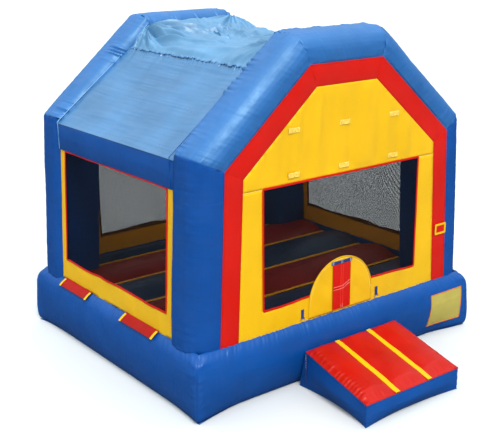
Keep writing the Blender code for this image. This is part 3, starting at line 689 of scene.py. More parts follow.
def make_floor():
    """Crowned tubes side by side, with a yellow strip sewn over each seam."""
    nodes = [f"floor_tube_{i + 1}" for i in range(5)]
    for i, node in enumerate(nodes):
        low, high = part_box(node)
        rim = BASE_TUBE + 0.001
        low.x, high.x = rim - HALF_X, HALF_X - rim
        if i == 0:
            low.y = rim - HALF_Y
        if node == nodes[-1]:
            high.y = HALF_Y - rim
        outline = [(low.y, 0.02), (high.y, 0.02)]
        crown = np.linspace(1, 0, 30)
        outline += [(low.y + (high.y - low.y) * s, 0.690 + 0.125 * math.sin(math.pi * s) ** 0.7)
                    for s in crown]
        ring = resample(outline, 0.022, closed=True)
        share = lengthwise(150, 0.4)[:, None]
        x = low.x + (high.x - low.x) * share
        y, z = ring[:, 0][None, :], ring[:, 1][None, :]
        seam = np.minimum(y - low.y, high.y - y)
        end = np.minimum(share, 1 - share) * (high.x - low.x)
        upper = smooth_step((z - 0.6) / 0.08)
        gather = 0.007 * fade(seam, 0.05) * noise1(x / 0.032, 50 + i)
        gather = gather + 0.006 * fade(end, 0.10) * noise1(y / 0.035, 60 + i)
        z = z + upper * (gather + 0.006 * noise2(x / 0.5, y / 0.2, 70 + i) - 0.03 * fade(end, 0.05))
        grid = stacked(x, y, z)
        # The floor tubes wear the darker copies of the blue and red, painted shade.
        look, slot = ((SHADED_FLOOR_RED, "red_vinyl") if i % 2 else (SHADED_FLOOR_BLUE, "blue_vinyl"))
        piece = tube_piece(f"bounce_{node}", grid, look, slot, replaces=(node,))
        if i:
            run = np.linspace(low.x + 0.03, high.x - 0.03, 90)
            path = stacked(run, low.y, 0.722 + 0.003 * noise1(run / 0.06, 80 + i))
            ribbon(f"floor_seam_strip_{i}", path, (0, 0, 1), 0.055, 0.008, YELLOW, "yellow_vinyl")


# ---- Columns and arches ----------------------------------------------------------------------


def column_x(height):
    return EAVE[0] + SPLAY * (EAVE[1] - height) / (EAVE[1] - BASE_TOP)


def slope_normal():
    run, rise = EAVE[0] - APEX[0], APEX[1] - EAVE[1]
    length = math.hypot(run, rise)
    return (rise / length, run / length)


def meet(point, along, line):
    """Where lines through points, in one direction, cross the line through two points."""
    (ax, ay), (bx, by) = line
    across = (bx - ax, by - ay)
    scale = along[0] * across[1] - along[1] * across[0]
    reach = ((ax - point[0]) * across[1] - (ay - point[1]) * across[0]) / scale
    return point[0] + reach * along[0], point[1] + reach * along[1]


def arch_runs():
    """Each straight run of an arch: part, hand, foot, outward direction, both end lines, side."""
    out_x, out_z = slope_normal()
    slope = (APEX[0] - EAVE[0], APEX[1] - EAVE[1])
    start = (EAVE[0] + TUBE * out_x, EAVE[1] + TUBE * out_z)
    end = (start[0] + slope[0], start[1] + slope[1])
    eave = (EAVE, meet((EAVE[0] + TUBE, EAVE[1]), (-SPLAY, EAVE[1] - BASE_TOP), (start, end)))
    apex = (APEX, meet(start, slope, ((0.0, APEX[1] + TUBE), (1.0, APEX[1] + TUBE))))
    foot = (column_x(COLUMN_FOOT), COLUMN_FOOT)
    ground = (foot, (foot[0] + TUBE, COLUMN_FOOT))
    mirrored = tuple((-x, z) for x, z in apex)
    runs = []
    for hand, side in HANDS:
        runs.append(("column", hand, foot, (1.0, 0.0), ground, eave, side))
        runs.append(("slope", hand, EAVE, (out_x, out_z), eave, apex, side))
    runs.append(("top", "", APEX, (0.0, 1.0), mirrored, apex, 1))
    return runs


def run_grid(section, foot, out, start_line, end_line, side, face, shares):
    """Rings of a section swept between two mitre lines, and the length at each section point."""
    start, end = np.array(start_line), np.array(end_line)
    along = (end - start)[0]
    across, depth = section[:, 0], section[:, 1]
    point = (foot[0] + out[0] * across, foot[1] + out[1] * across)
    low = np.stack(meet(point, along, start_line), axis=-1)
    high = np.stack(meet(point, along, end_line), axis=-1)
    flat = low[None] + (high - low)[None] * shares[:, None, None]
    y = np.broadcast_to(face * (FRONT - depth), flat.shape[:2])
    grid = stacked(side * flat[..., 0], y, flat[..., 1])
    return grid, np.linalg.norm(high - low, axis=1)


def make_arches():
    section = resample(rounded_outline(TUBE, DEPTH, (0.03, 0.25, 0.17, 0.05)), 0.014, closed=True)
    across, depth = section[:, 0], section[:, 1]
    girth = np.arange(len(section)) * 0.014
    under_trim = (depth < 0.012) & (across < TRIM + 0.012)
    seed = 100
    for word, face in (("front", -1), ("rear", 1)):
        for part, hand, foot, out, start, end, side in arch_runs():
            seed += 10
            shares = lengthwise(200, 0.45)
            grid, length = run_grid(section, foot, out, start, end, side, face, shares)
            reach = shares[:, None] * length[None]
            ends = np.minimum(reach, length[None] - reach)
            rise = 0.010 * (1 - fade(ends, 0.10)) - 0.006 * fade(ends, 0.012)
            rise = rise + 0.008 * fade(ends, 0.085) * noise1(girth / 0.030, seed)[None]
            rise = rise + 0.005 * fade(ends, 0.22) * noise2(girth[None] / 0.055, ends / 0.2, seed + 1)
            rise = rise + 0.005 * noise2(girth[None] / 0.35, reach / 0.40, seed + 2)
            rise = rise + 0.0014 * noise2(girth[None] / 0.20, reach / 0.024, seed + 3)
            rise = rise + 0.0016 * noise2(girth[None] / 0.10, reach / 0.055, seed + 6)
            if part != "column":
                roof_side = np.exp(-(((across - 0.56) / 0.09) ** 2))
                roof_side = roof_side * np.clip((depth - 0.30) / 0.16, 0, 1)
                gather = np.clip(noise1(reach / 0.026, seed + 4), -0.3, 1)
                patchy = smooth_step(noise1(reach / 0.20, seed + 5) + 0.6)
                rise = rise + 0.020 * roof_side[None] * gather * patchy
            rise = np.where(under_trim[None], -0.003, rise)
            grid = grid + outward_normals(grid) * rise[..., None]
            # The slopes and top wear the lighter copy of the blue, painted light.
            node, look = node_name(word, "arch", part, hand), SKY_LIT_ARCH_BLUE
            # The columns wear the darker copy of the blue, painted shade.
            if part == "column":
                node, look = node_name("column", word, hand), SHADED_UPRIGHT_BLUE
            piece = tube_piece("blown_" + node, grid, look, "blue_vinyl", replaces=(node,))


def make_trims():
    """The red facing on the front arch: five panels that crown a little between their seams."""
    across = np.linspace(0.0, TRIM, 18)
    section = np.stack([across, 0 * across], axis=1)
    seed = 300
    for part, hand, foot, out, start, end, side in arch_runs():
        seed += 5
        shares = lengthwise(110, 0.4)
        grid, length = run_grid(section, foot, out, start, end, side, -1, shares)
        reach = shares[:, None] * length[None]
        ends = np.minimum(reach, length[None] - reach)
        crown = np.sin(np.pi * across / TRIM)[None] ** 0.6
        lift = 0.003 + 0.009 * crown * (1 - 0.7 * fade(ends, 0.03))
        lift = lift + crown * 0.003 * noise2(across[None] / 0.12, reach / 0.22, seed)
        lift = lift + 0.002 * crown * fade(ends, 0.06) * noise1(across / 0.028, seed + 1)[None]
        grid[..., 1] -= lift
        node = node_name("trim", part, hand)
        piece = sheet_piece("facing_" + node, facing_front(grid), 0.004, RED, "red_vinyl",
                            replaces=(node,))
        rows = [grid[:, 1] - [0, 0.002, 0], grid[:, -2] - [0, 0.002, 0]]
        stitches(f"stitching_{node}", rows, (0, -1, 0), look=DARK_RED)


def facing_front(grid):
    """The grid with its rows ordered so that its normals face -Y."""
    return grid if normals_of(grid)[..., 1].mean() < 0 else grid[:, ::-1]


def facing_up(grid):
    return grid if normals_of(grid)[..., 2].mean() > 0 else grid[:, ::-1]


DARK_RED = webbing("red_thread", (0.34, 0.010, 0.004))


def make_beams():
    """The blue bands under the eaves."""
    low, high = SIDE_TOP, ROOF_LOW[1]
    for word, side in HANDS:
        outline = [(BEAM_INNER, low), (BEAM_X - 0.01, low), (BEAM_X, low + 0.02),
                   (BEAM_X + 0.008, (low + high) / 2), (BEAM_X, high - 0.03),
                   (BEAM_X - 0.012, high - 0.012), (BEAM_INNER, high + 0.08)]
        ring = resample(outline, 0.018, closed=True)
        share = lengthwise(160, 0.5)[:, None]
        y = (2 * share - 1) * WALL_REACH
        x, z = ring[:, 0][None], ring[:, 1][None]
        ends = np.minimum(share, 1 - share) * 2 * WALL_REACH
        face = smooth_step((x - 2.0) / 0.08)
        crown = 0.016 * np.sin(np.pi * np.clip((z - low) / (high - low), 0, 1))
        wave = 0.004 * noise2(y / 0.4, z / 0.12, 400 + side) * (1 - fade(ends, 0.15))
        x = x + face * ((crown + wave) * (1 - fade(ends, 0.06)) - 0.008 * fade(ends, 0.03))
        grid = stacked(side * x, y, z)
        piece = tube_piece(f"eave_band_{word}", grid, BLUE, "blue_vinyl",
                           replaces=(f"eave_beam_{word}",))


# ---- Walls -----------------------------------------------------------------------------------


def wall_x(height):
    return WALL_X + SPLAY * (SIDE_TOP - height) / (EAVE[1] - BASE_TOP)


def on_front(face):
    """Puts a panel's (x, z) on a wall that faces -Y (face -1) or +Y (face 1)."""
    return lambda a, b, rise: stacked(a, face * (WALL_FACE - 0.001 + rise), b)


def on_side(side):
    return lambda a, b, rise: stacked(side * (wall_x(b) + rise), a, b)


def billow(seed, amount=0.006):
    """Soft upright folds in a stretched panel, which die out at its sewn edges."""
    def relief(a, b, edge):
        folds = noise2(a / 0.16 + 0.6 * b, b / 1.3, seed)
        folds = folds + 0.5 * noise2(a / 0.075 - b, b / 0.8, seed + 1)
        return amount * folds * smooth_step(edge / 0.12)
    return relief


def sill(a, half, seed):
    """A window's lower edge, which sags in slow waves between its corners."""
    share = np.asarray(a) / half
    waves = 0.020 * noise1(np.asarray(a) / 0.42, seed) + 0.009 * noise1(np.asarray(a) / 0.17, seed + 7)
    return WINDOW_LOW + waves * (1 - share ** 4)


def window_frame(half_low, half_top, half, top, seed, hem=0.0):
    """A wall panel round a window. Its foot is straight, or hangs in waves where it has a hem."""
    low = [(-half_low, WALL_FOOT), (half_low, WALL_FOOT)]
    if hem:
        x = np.linspace(-half_low, half_low, 60)
        low = [(a, BASE_TOP - 0.018 + hem * float(noise1(a / 0.16, seed + 1))) for a in x]
    x = np.linspace(half, -half, 50)
    edge = [(float(a), float(z)) for a, z in zip(x, sill(x, half, seed))]
    return [*low, (half_top, top), (half, top), *edge, (-half, top), (-half_top, top)]


def wavy_path(corners, spacing, wave, seed, closed):
    """A hand-sewn edge: points along corners, shifted a little."""
    flat = resample(corners, spacing, closed)
    run = np.arange(len(flat)) * spacing
    return flat + np.stack([noise1(run / 0.3, seed), noise1(run / 0.3, seed + 1)], -1) * wave


FRONT_SILL = 550


def make_front_and_back():
    top = column_x(WINDOW_TOP)
    outline = window_frame(column_x(BASE_TOP), top, WINDOW_HALF_X, WINDOW_TOP, FRONT_SILL)
    slit = [(DOOR_X + SLIT_HALF, WINDOW_LOW), (DOOR_X + SLIT_HALF, SLIT_LOW),
            (DOOR_X - SLIT_HALF, SLIT_LOW), (DOOR_X - SLIT_HALF, WINDOW_LOW)]
    notched = [p for p in outline if not (p[1] < 1.2 and abs(p[0] - DOOR_X) < SLIT_HALF + 0.03)]
    at = next(i for i, p in enumerate(notched) if 1.0 < p[1] < 1.2 and p[0] < DOOR_X)
    notched = notched[:at] + slit + notched[at:]
    right = [(top, WINDOW_TOP), EAVE, APEX]
    gable = right + [(-x, z) for x, z in reversed(right)]
    for word, end, face, frame_outline, seed in (("front", "front", -1, notched, 500),
                                                 ("back", "rear", 1, outline, 520)):
        place = on_front(face)
        wall = panel(f"{word}_wall", frame_outline, place, YELLOW, "yellow_vinyl",
                     relief=billow(seed, 0.005), replaces=(f"{word}_window_frame",))
        peak = panel(f"{word}_gable", gable, place, YELLOW, "yellow_vinyl",
                     relief=billow(seed + 5, 0.014), replaces=(f"{word}_gable_panel",))
        y = face * (WALL_FACE + 0.002)
        seam = [[(-top, y, WINDOW_TOP), (-WINDOW_HALF_X, y, WINDOW_TOP)],
                [(WINDOW_HALF_X, y, WINDOW_TOP), (top, y, WINDOW_TOP)]]
        stitches(f"stitching_{word}_wall", seam, (0, face, 0), look=PALE_THREAD)
    window_trim_front()
    z = np.linspace(WALL_FOOT, EAVE[1], 60)
    for word, side in HANDS:
        path = stacked(side * (column_x(z) + 0.010), WALL_FACE - 0.008, z)
        ribbon(f"back_wall_welt_{word}", path, (0, 1, 0), 0.060, 0.010, YELLOW, "yellow_vinyl")


def window_trim_front():
    half, top = WINDOW_HALF_X, WINDOW_TOP
    patch = DOOR_RADIUS * math.sqrt(1 - ((WINDOW_LOW - DOOR_CENTRE_Z) / DOOR_RADIUS) ** 2)
    left_stop, right_stop = DOOR_X - patch + 0.02, DOOR_X + patch - 0.02
    right, left = np.linspace(right_stop, half, 26), np.linspace(-half, left_stop, 20)
    corners = [*zip(right, sill(right, half, FRONT_SILL)), (half, top), (-half, top),
               *zip(left, sill(left, half, FRONT_SILL))]
    flat = wavy_path(corners, 0.02, 0.0025, 530, False)
    path = stacked(flat[:, 0], -WALL_FACE - 0.001, flat[:, 1])
    ribbon("front_window_binding", path, (0, -1, 0), BINDING, 0.009, RED, "red_vinyl")
    low = np.linspace(-half, half, 50)
    corners = [(half, top), (-half, top), *zip(low, sill(low, half, FRONT_SILL))]
    flat = wavy_path(corners, 0.02, 0.0025, 540, True)
    path = stacked(flat[:, 0], WALL_FACE + 0.001, flat[:, 1])
    ribbon("back_window_binding", path, (0, 1, 0), BINDING, 0.009, RED, "red_vinyl", closed=True)


def make_sides():
    for word, side in HANDS:
        seed = 555 + 2 * side
        outline = window_frame(WALL_REACH, WALL_REACH, WINDOW_HALF_Y, SIDE_TOP, seed, 0.020)
        wall = panel(f"{word}_wall", outline, on_side(side), YELLOW, "yellow_vinyl",
                     relief=billow(560 + side, 0.004), replaces=(f"{word}_window_frame",))
        low = np.linspace(-WINDOW_HALF_Y, WINDOW_HALF_Y, 50)
        corners = [*zip(low, sill(low, WINDOW_HALF_Y, seed)), (WINDOW_HALF_Y, SIDE_TOP - 0.004),
                   (-WINDOW_HALF_Y, SIDE_TOP - 0.004)]
        flat = wavy_path(corners, 0.02, 0.004, 570 + side, True)
        lean = wall_x(flat[:, 1]) + 0.002
        path = stacked(side * lean, flat[:, 0], flat[:, 1])
        ribbon(f"{word}_window_binding", path, (side, 0, 0.05), BINDING, 0.010, RED, "red_vinyl",
               closed=True)


def make_nets():
    """Each net is one stretched sheet that bellies a little between its sewn edges."""
    def net(name, node, a_range, b_range, look, place):
        a, b = np.meshgrid(np.linspace(*a_range, 64), np.linspace(*b_range, 44), indexing="ij")
        u = (a - a_range[0]) / (a_range[1] - a_range[0])
        v = (b - b_range[0]) / (b_range[1] - b_range[0])
        belly = 0.014 * np.sin(np.pi * u) * np.sin(np.pi * v)
        grid = place(a, b, belly + 0.004 * noise2(a / 0.5, b / 0.4, 600))
        faces = grid_faces(*a.shape, False)
        piece = add_piece(name, grid, faces, look, "net", replaces=(node,), solid=False)

    reach = WINDOW_HALF_X + 0.015
    heights = (WINDOW_LOW - 0.03, WINDOW_TOP + 0.01)
    net("netting_front", "net_front", (-reach, reach), heights, NET,
        lambda a, b, rise: stacked(a, -(WALL_FACE - 0.012) + rise, b))
    net("netting_back", "net_back", (-reach, reach), heights, NET,
        lambda a, b, rise: stacked(a, WALL_FACE - 0.012 - rise, b))
    reach = WINDOW_HALF_Y + 0.015
    heights = (WINDOW_LOW - 0.03, SIDE_TOP)
    for word, side in HANDS:
        net(f"netting_{word}", f"net_{word}", (-reach, reach), heights, SIDE_NET,
            lambda a, b, rise, side=side: stacked(side * (wall_x(b) - 0.012 - rise), a, b))


# ---- Door ------------------------------------------------------------------------------------


def on_patch(a, b, rise):
    return stacked(a, -(PATCH_FACE - 0.001 + rise), b)


def make_door():
    low = BASE_TOP + 0.002
    top = arc((DOOR_X, DOOR_CENTRE_Z), DOOR_RADIUS, 0, 180, 40)
    outline = [(DOOR_X - DOOR_RADIUS, low), (DOOR_X + DOOR_RADIUS, low)] + top
    slit = rectangle(DOOR_X - SLIT_HALF, SLIT_LOW, DOOR_X + SLIT_HALF, SLIT_TOP)

    def creases(a, b, edge):
        diagonal = (a - DOOR_X) * 0.75 + (b - low)
        soft = noise1(diagonal / 0.06, 620) * 0.5 + noise2(a / 0.11, b / 0.2, 621)
        return 0.006 * soft * smooth_step(edge / 0.08)

    patch = panel("door_surround", outline, on_patch, YELLOW, "yellow_vinyl", holes=(slit,),
                  spacing=0.022, thickness=0.005, relief=creases, replaces=("door_patch",))
    rim = resample(arc((DOOR_X, DOOR_CENTRE_Z), DOOR_RADIUS, 8, 172, 40), 0.015)
    path = stacked(rim[:, 0], -PATCH_FACE, rim[:, 1])
    ribbon("door_piping", path, (0, -1, 0), 0.012, 0.012, YELLOW, "yellow_vinyl")
    inner = arc((DOOR_X, DOOR_CENTRE_Z), DOOR_RADIUS - 0.022, 0, 180, 40)
    rows = [[(x, -PATCH_FACE - 0.0005, z) for x, z in inner]]
    stitches("stitching_door", rows, (0, -1, 0), look=PALE_THREAD)
    make_header()
    for word, side in HANDS:
        make_leaf(word, side)


def make_header():
    low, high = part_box("door_header")
    x = np.linspace(low.x, high.x, 40)[:, None]
    z = np.linspace(low.z, high.z, 9)[None]
    bulge = 0.003 * np.sin(np.pi * (z - low.z) / (high.z - low.z))
    grid = stacked(x, low.y - bulge, z)
    sheet_piece("door_header_band", facing_front(grid), 0.005, NAVY, "webbing",
                replaces=("door_header",))
    middle, y = (low.x + high.x) / 2, low.y - 0.003
    bars = [[(at, y, low.z + 0.004), (at, y, high.z - 0.004)]
            for at in (low.x + 0.016, low.x + 0.030, middle - 0.01, middle + 0.01,
                       high.x - 0.030, high.x - 0.016)]
    stitches("stitching_header", bars, (0, -1, 0), pitch=0.008, length=0.0075)


CREASE_DROPS = (0.0, 0.035)


def leaf_crease(x):
    """Height of the sewn crease across both leaves: level on the left, rising to the right."""
    return 1.115 + 0.05 * smooth_step((x - DOOR_X) / 0.14)


def make_leaf(word, side):
    low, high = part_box(f"door_leaf_{word}")
    x = np.linspace(low.x, high.x, 26)[:, None]
    z = np.linspace(low.z, high.z, 90)[None]
    crease = sum(np.exp(-(((z - leaf_crease(x) + drop) / 0.010) ** 2)) for drop in CREASE_DROPS)
    fold = 0.0025 * noise2(x / 0.08, z / 0.16, 640 + side)
    hinge = np.abs(x - (low.x if side < 0 else high.x))
    y = low.y + 0.0005 - (0.0016 * crease + fold * 0.6 + 0.002) * smooth_step(hinge / 0.03)
    grid = stacked(x, y, z)
    body = f"{word}_leaf"
    leaf = sheet_piece(f"leaf_{word}", facing_front(grid), 0.0035, RED, "red_vinyl", body=body,
                       replaces=(f"door_leaf_{word}",))
    edge = (high.x if side < 0 else low.x) + side * 0.014
    run = np.linspace(low.z + 0.01, high.z - 0.01, 40)
    path = stacked(edge, low.y - 0.002, run)
    ribbon(f"leaf_edge_{word}", path, (0, -1, 0), 0.024, 0.004, LEAF_EDGE, "red_vinyl", body=body)
    across = np.linspace(low.x + 0.008, high.x - 0.008, 12)
    rows = [stacked(across, low.y - 0.0035, leaf_crease(across) - drop)
            for drop in CREASE_DROPS]
    rows.append([(edge - side * 0.004, low.y - 0.005, low.z + rise) for rise in (0.01, 0.05)])
    stitches(f"stitching_leaf_{word}", rows, (0, -1, 0), look=PALE_RED, pitch=0.012, length=0.009,
             width=0.004, body=body)


LEAF_EDGE = vinyl("leaf_edge", (0.60, 0.012, 0.006), RED_GLOSS, 0.08)
PALE_RED = webbing("pale_red_thread", (0.85, 0.40, 0.34))


# ---- Roof ------------------------------------------------------------------------------------


def seam_gather(y, seed):
    """Tight gathers along the roof's cross seams."""
    return np.clip(noise1(y / 0.016, seed), -0.35, 1) + 0.6 * noise1(y / 0.045, seed + 1)


def seam_wave(y, side):
    """How far a cross seam rises and falls along its length, on both sheets that meet there."""
    return 0.013 * seam_gather(y, 760 if side < 0 else 765)


def make_roof_slopes():
    (low_x, low_z), (seam_x, seam_z) = ROOF_START, ROOF_SEAM
    length = math.hypot(low_x - seam_x, seam_z - low_z)
    normal = ((seam_z - low_z) / length, (low_x - seam_x) / length)
    for word, side in HANDS:
        seed = 700 + side * 10
        u = np.linspace(0, 1, 130)[:, None]
        y = np.linspace(-WALL_REACH, WALL_REACH, 260)[None]
        run = u * length
        ends = WALL_REACH - np.abs(y)
        sag = 0.045 * np.sin(np.pi * u) ** 0.8 * smooth_step(ends / 0.6)
        ripple = 0.0020 * noise2(run / 0.024, y / 0.35, seed)
        ripple = ripple + 0.0032 * noise2(run / 0.075, y / 0.60, seed + 1)
        ripple = ripple + 0.010 * noise2(run / 0.34, y / 0.50, seed + 2)
        ripple = ripple * smooth_step(run / 0.08) * smooth_step(ends / 0.10)
        to_seam = length - run
        gather = 0.014 * fade(to_seam, 0.06) * seam_gather(y, seed + 3)
        gather = gather + 0.008 * fade(to_seam, 0.22) * noise1(y / 0.075, seed + 4)
        pull = 0.008 * fade(ends, 0.12) * noise1(run / 0.050, seed + 5)
        rise = ripple + (gather + pull - 0.006) * (1 - fade(to_seam, 0.010)) - sag
        x = low_x + (seam_x - low_x) * u + normal[0] * rise
        z = low_z + (seam_z - low_z) * u + normal[1] * rise + seam_wave(y, side) * fade(to_seam, 0.045)
        grid = stacked(side * x, y, z)
        piece = sheet_piece(f"roof_sheet_{word}", facing_up(grid), 0.004, ROOF, "roof_vinyl",
                            replaces=(f"roof_slope_{word}",))


def ridged(wave):
    """Narrow crests with round hollows between, from a smooth wave."""
    return 1.2 - 2 * np.sqrt(wave * wave + 0.02)


def roof_folds(x, y, v):
    """Folds of the slack top sheet: long ones from arch to arch, and fans at the arch corners."""
    bowed = np.abs(x) + 0.25 * v * v
    side = np.where(x < 0, 0.0, 40.0)
    drift = 0.035 * noise2(bowed / 0.5, v * 0.8 + 3, 722)
    long_folds = 0.078 * ridged(noise1((bowed + drift) / 0.140 + side, 720))
    long_folds = long_folds + 0.012 * noise1((bowed - drift) / 0.050 + side, 721)
    folds = 0.8 * long_folds * (1 - np.abs(v) ** 3) * (0.70 + 0.30 * noise2(x / 0.4, v * 1.1, 723))
    dx, dy = x + 0.76, y - BAY
    reach = np.hypot(dx, dy)
    turn = np.arctan2(dx, -dy) - 0.30 * reach
    sweep = ridged(noise1(turn / 0.15 + 5, 750)) + 0.25 * noise1(turn / 0.05 + 9, 751)
    folds = folds + 0.095 * sweep * smooth_step(reach / 0.8) * np.exp(-reach / 2.2)
    for corner_x, corner_y, strength, seed in ((-0.72, BAY, 1.4, 730), (-0.72, -BAY, 0.6, 735),
                                               (0.72, BAY, 0.7, 740), (0.72, -BAY, 0.7, 745)):
        dx, dy = x - corner_x, y - corner_y
        reach = np.hypot(dx, dy)
        angle = np.arctan2(dy, dx)
        fan = 0.7 * ridged(noise1(angle / 0.22 + 8, seed)) + 0.4 * noise1(angle / 0.10, seed + 1)
        folds = folds + 0.120 * strength * fan * (reach / 0.16) * np.exp(-reach / 0.28)
    return folds


def make_roof_top():
    seam_x, seam_z = ROOF_SEAM
    corner_x, corner_z = ROOF_CORNER
    x = np.linspace(-seam_x, seam_x, 330)[:, None]
    y = np.linspace(-WALL_REACH, WALL_REACH, 330)[None]
    v = np.clip(y / BAY, -1, 1)
    share = np.clip((seam_x - np.abs(x)) / (seam_x - corner_x), 0, 1)
    body = smooth_step(share) * 0.6 + share * 0.4
    sag = ROOF_SAG * (1 - 0.4 * smooth_step(x / 0.6))
    height = seam_z + (corner_z - seam_z) * body - sag * (1 - v * v) * share
    to_seam = seam_x - np.abs(x)
    sewn = smooth_step(to_seam / 0.10) * smooth_step((WALL_REACH - np.abs(y)) / 0.10)
    height = height + roof_folds(x, y, v) * sewn
    wave = np.where(x < 0, seam_wave(y, -1), seam_wave(y, 1))
    height = height + wave * fade(to_seam, 0.06) - 0.006 * (1 - fade(to_seam, 0.010))
    grid = stacked(x, y, height)
    # The top sheet wears the lighter copy of the roof vinyl, painted light.
    piece = sheet_piece("roof_sheet_top", facing_up(grid), 0.004, SKY_LIT_ROOF_TOP, "roof_vinyl",
                        replaces=("roof_top",))
    for word, side in HANDS:
        run = np.linspace(-BAY, BAY, 330)
        path = stacked(side * (seam_x + 0.002), run, seam_z + seam_wave(run, side))
        ribbon(f"roof_seam_{word}", path, (side * 0.6, 0, 0.8), 0.024, 0.008, ROOF, "roof_vinyl")
        for end, at, look in (("front", -1, BLUE), ("rear", 1, PIPING)):
            low, high = SIDE_TOP + 0.01, ROOF_LOW[1]
            corners = [(BEAM_X + 0.008, low), (BEAM_X + 0.012, high),
                       (seam_x + 0.006, seam_z + 0.010), (corner_x, corner_z + 0.006)]
            flat = resample(corners, 0.03)
            path = stacked(side * (flat[:, 0] + 0.004), at * (BAY + 0.016), flat[:, 1] + 0.006)
            ribbon(f"roof_piping_{end}_{word}", path, (side * 0.65, -at * 0.4, 0.65), 0.009, 0.010,
                   look, "blue_vinyl")


# ---- Entry step ------------------------------------------------------------------------------

STEP_LOW, STEP_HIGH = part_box("step_body")
STEP_HALF = 0.762
STEP_FRONT, STEP_BACK = STEP_LOW.y, STEP_HIGH.y
STEP_FRONT_X, STEP_BACK_X = STEP_LOW.x + STEP_HALF, STEP_HIGH.x - STEP_HALF
STEP_CORNERS = [(STEP_BACK_X - STEP_HALF, STEP_BACK), (STEP_FRONT_X - STEP_HALF, STEP_FRONT),
                (STEP_FRONT_X + STEP_HALF, STEP_FRONT), (STEP_BACK_X + STEP_HALF, STEP_BACK)]
STEP_BACK_TOP = STEP_HIGH.z
STEP_FRONT_TOP = 0.285
STRIPE = 0.064
LOBES = 3
LOBE = (2 * STEP_HALF - (LOBES - 1) * STRIPE) / LOBES


def along_step(y, at_front, at_back):
    """A value that changes evenly along the step from its front to its back."""
    return at_front + (at_back - at_front) * (y - STEP_FRONT) / (STEP_BACK - STEP_FRONT)


def step_top(y):
    return along_step(y, STEP_FRONT_TOP, STEP_BACK_TOP)


def step_x(y):
    """The step's middle at a place along it: it lies a little askew."""
    return along_step(y, STEP_FRONT_X, STEP_BACK_X)


def make_step_body():
    """A wedge of four blown-up sides, drawn in along the ground between its corners."""
    outward = [(-1, 0), (0, -1), (1, 0), (0, 1)]
    heights = np.linspace(0, 1, 34)[:, None]
    columns = []
    for i, (start, normal) in enumerate(zip(STEP_CORNERS, outward)):
        end = STEP_CORNERS[(i + 1) % 4]
        span = math.dist(start, end)
        share = lengthwise(70, 0.5)[:-1][None]
        to_corner = np.minimum(share, 1 - share) * span
        middle = 1 - np.abs(2 * share - 1) ** 2.2
        shown = float(i < 3)
        belly = shown * 0.022 * np.sin(np.pi * heights) * middle
        foot = shown * 0.060 * np.clip(1 - heights / 0.55, 0, 1) ** 1.5 * middle
        pucker = 0.005 * fade(to_corner, 0.05) * noise1(heights / 0.06, 800 + i)
        gather = 0.004 * fade(1 - heights, 0.16) * noise1(share * span / 0.028, 810 + i)
        soft = 0.004 * noise2(share * span / 0.25, heights * 2, 820 + i)
        out = belly - foot + (pucker + gather + soft * middle) * shown - 0.004
        x = start[0] + (end[0] - start[0]) * share + normal[0] * out
        y = start[1] + (end[1] - start[1]) * share + normal[1] * out
        z = 0.004 + (step_top(np.clip(y, STEP_FRONT, STEP_BACK)) - 0.014) * heights
        y = y + 0.11 * (1 - heights) * np.clip((y - STEP_BACK) / 0.25 + 1, 0, 1)
        columns.append(stacked(x, y, z))
    grid = np.concatenate(columns, axis=1)
    piece = tube_piece("step_chamber", grid, BLUE, "blue_vinyl", body="entry_step",
                       replaces=("step_body",))


def deck_height(across, y):
    """The deck's rise above the step's slope, with a rounded rim and crowned lobes."""
    local = np.clip(across + STEP_HALF, 0, 2 * STEP_HALF)
    index = np.clip(np.floor(local / (LOBE + STRIPE)), 0, LOBES - 1)
    share = np.clip((local - index * (LOBE + STRIPE)) / LOBE, 0, 1)
    crown = np.sin(np.pi * share) ** 0.55
    rim_x = np.minimum(local, 2 * STEP_HALF - local)
    rim = smooth_step((y - STEP_FRONT) / 0.20 + 0.08) * smooth_step((STEP_BACK - y) / 0.11 + 0.16)
    rim = rim * smooth_step(rim_x / 0.08 + 0.08)
    return rim * (0.010 + 0.055 * crown)


def make_step_deck():
    across = np.linspace(-STEP_HALF, STEP_HALF, 190)[:, None]
    y = np.linspace(STEP_FRONT, STEP_BACK, 150)[None]
    x = step_x(y) + across
    edge = STEP_HALF - np.abs(across)
    front = np.minimum(y - STEP_FRONT, STEP_BACK - y)
    rise = deck_height(across, y)
    beside = np.exp(-(((edge - 0.055) / 0.05) ** 2))
    gather = 0.013 * beside * np.clip(noise2(y / 0.028 + x * 3, x / 0.2, 840), -0.3, 1)
    gather = gather + 0.007 * np.exp(-(((front - 0.05) / 0.045) ** 2)) * noise1(x / 0.030, 841)
    soft = 0.004 * noise2(x / 0.12, y / 0.20, 842)
    rise = rise + gather + soft * smooth_step(np.minimum(edge, front) / 0.08)
    top = stacked(x, y, step_top(y) + 0.001 + rise)
    under = stacked(x, y, step_top(y) - 0.011)
    points, faces = shell(top, under)
    # The deck wears the darker copy of the red, painted shade.
    piece = add_piece("step_cushion", points, faces, SHADED_DECK_RED, "red_vinyl", body="entry_step",
                      replaces=("step_deck",))
    for i, word in enumerate(("left", "right")):
        middle = -STEP_HALF + LOBE + i * (LOBE + STRIPE) + STRIPE / 2
        across = np.linspace(-1, 1, 12)[:, None] * (STRIPE / 2 + 0.002) + middle
        along = np.linspace(STEP_FRONT - 0.002, STEP_BACK - 0.01, 120)[None]
        sway = 0.004 * noise1(along / 0.22, 850 + i)
        lift = np.maximum(deck_height(across, np.clip(along, STEP_FRONT, STEP_BACK)), 0.008) + 0.006
        lift = lift + 0.002 * noise1(along / 0.05, 855 + i)
        grid = stacked(step_x(along) + across + sway, along, step_top(along) + lift)
        sheet_piece(f"step_band_{word}", facing_up(grid), 0.006, YELLOW, "yellow_vinyl",
                    body="entry_step", replaces=(f"step_stripe_{word}",))


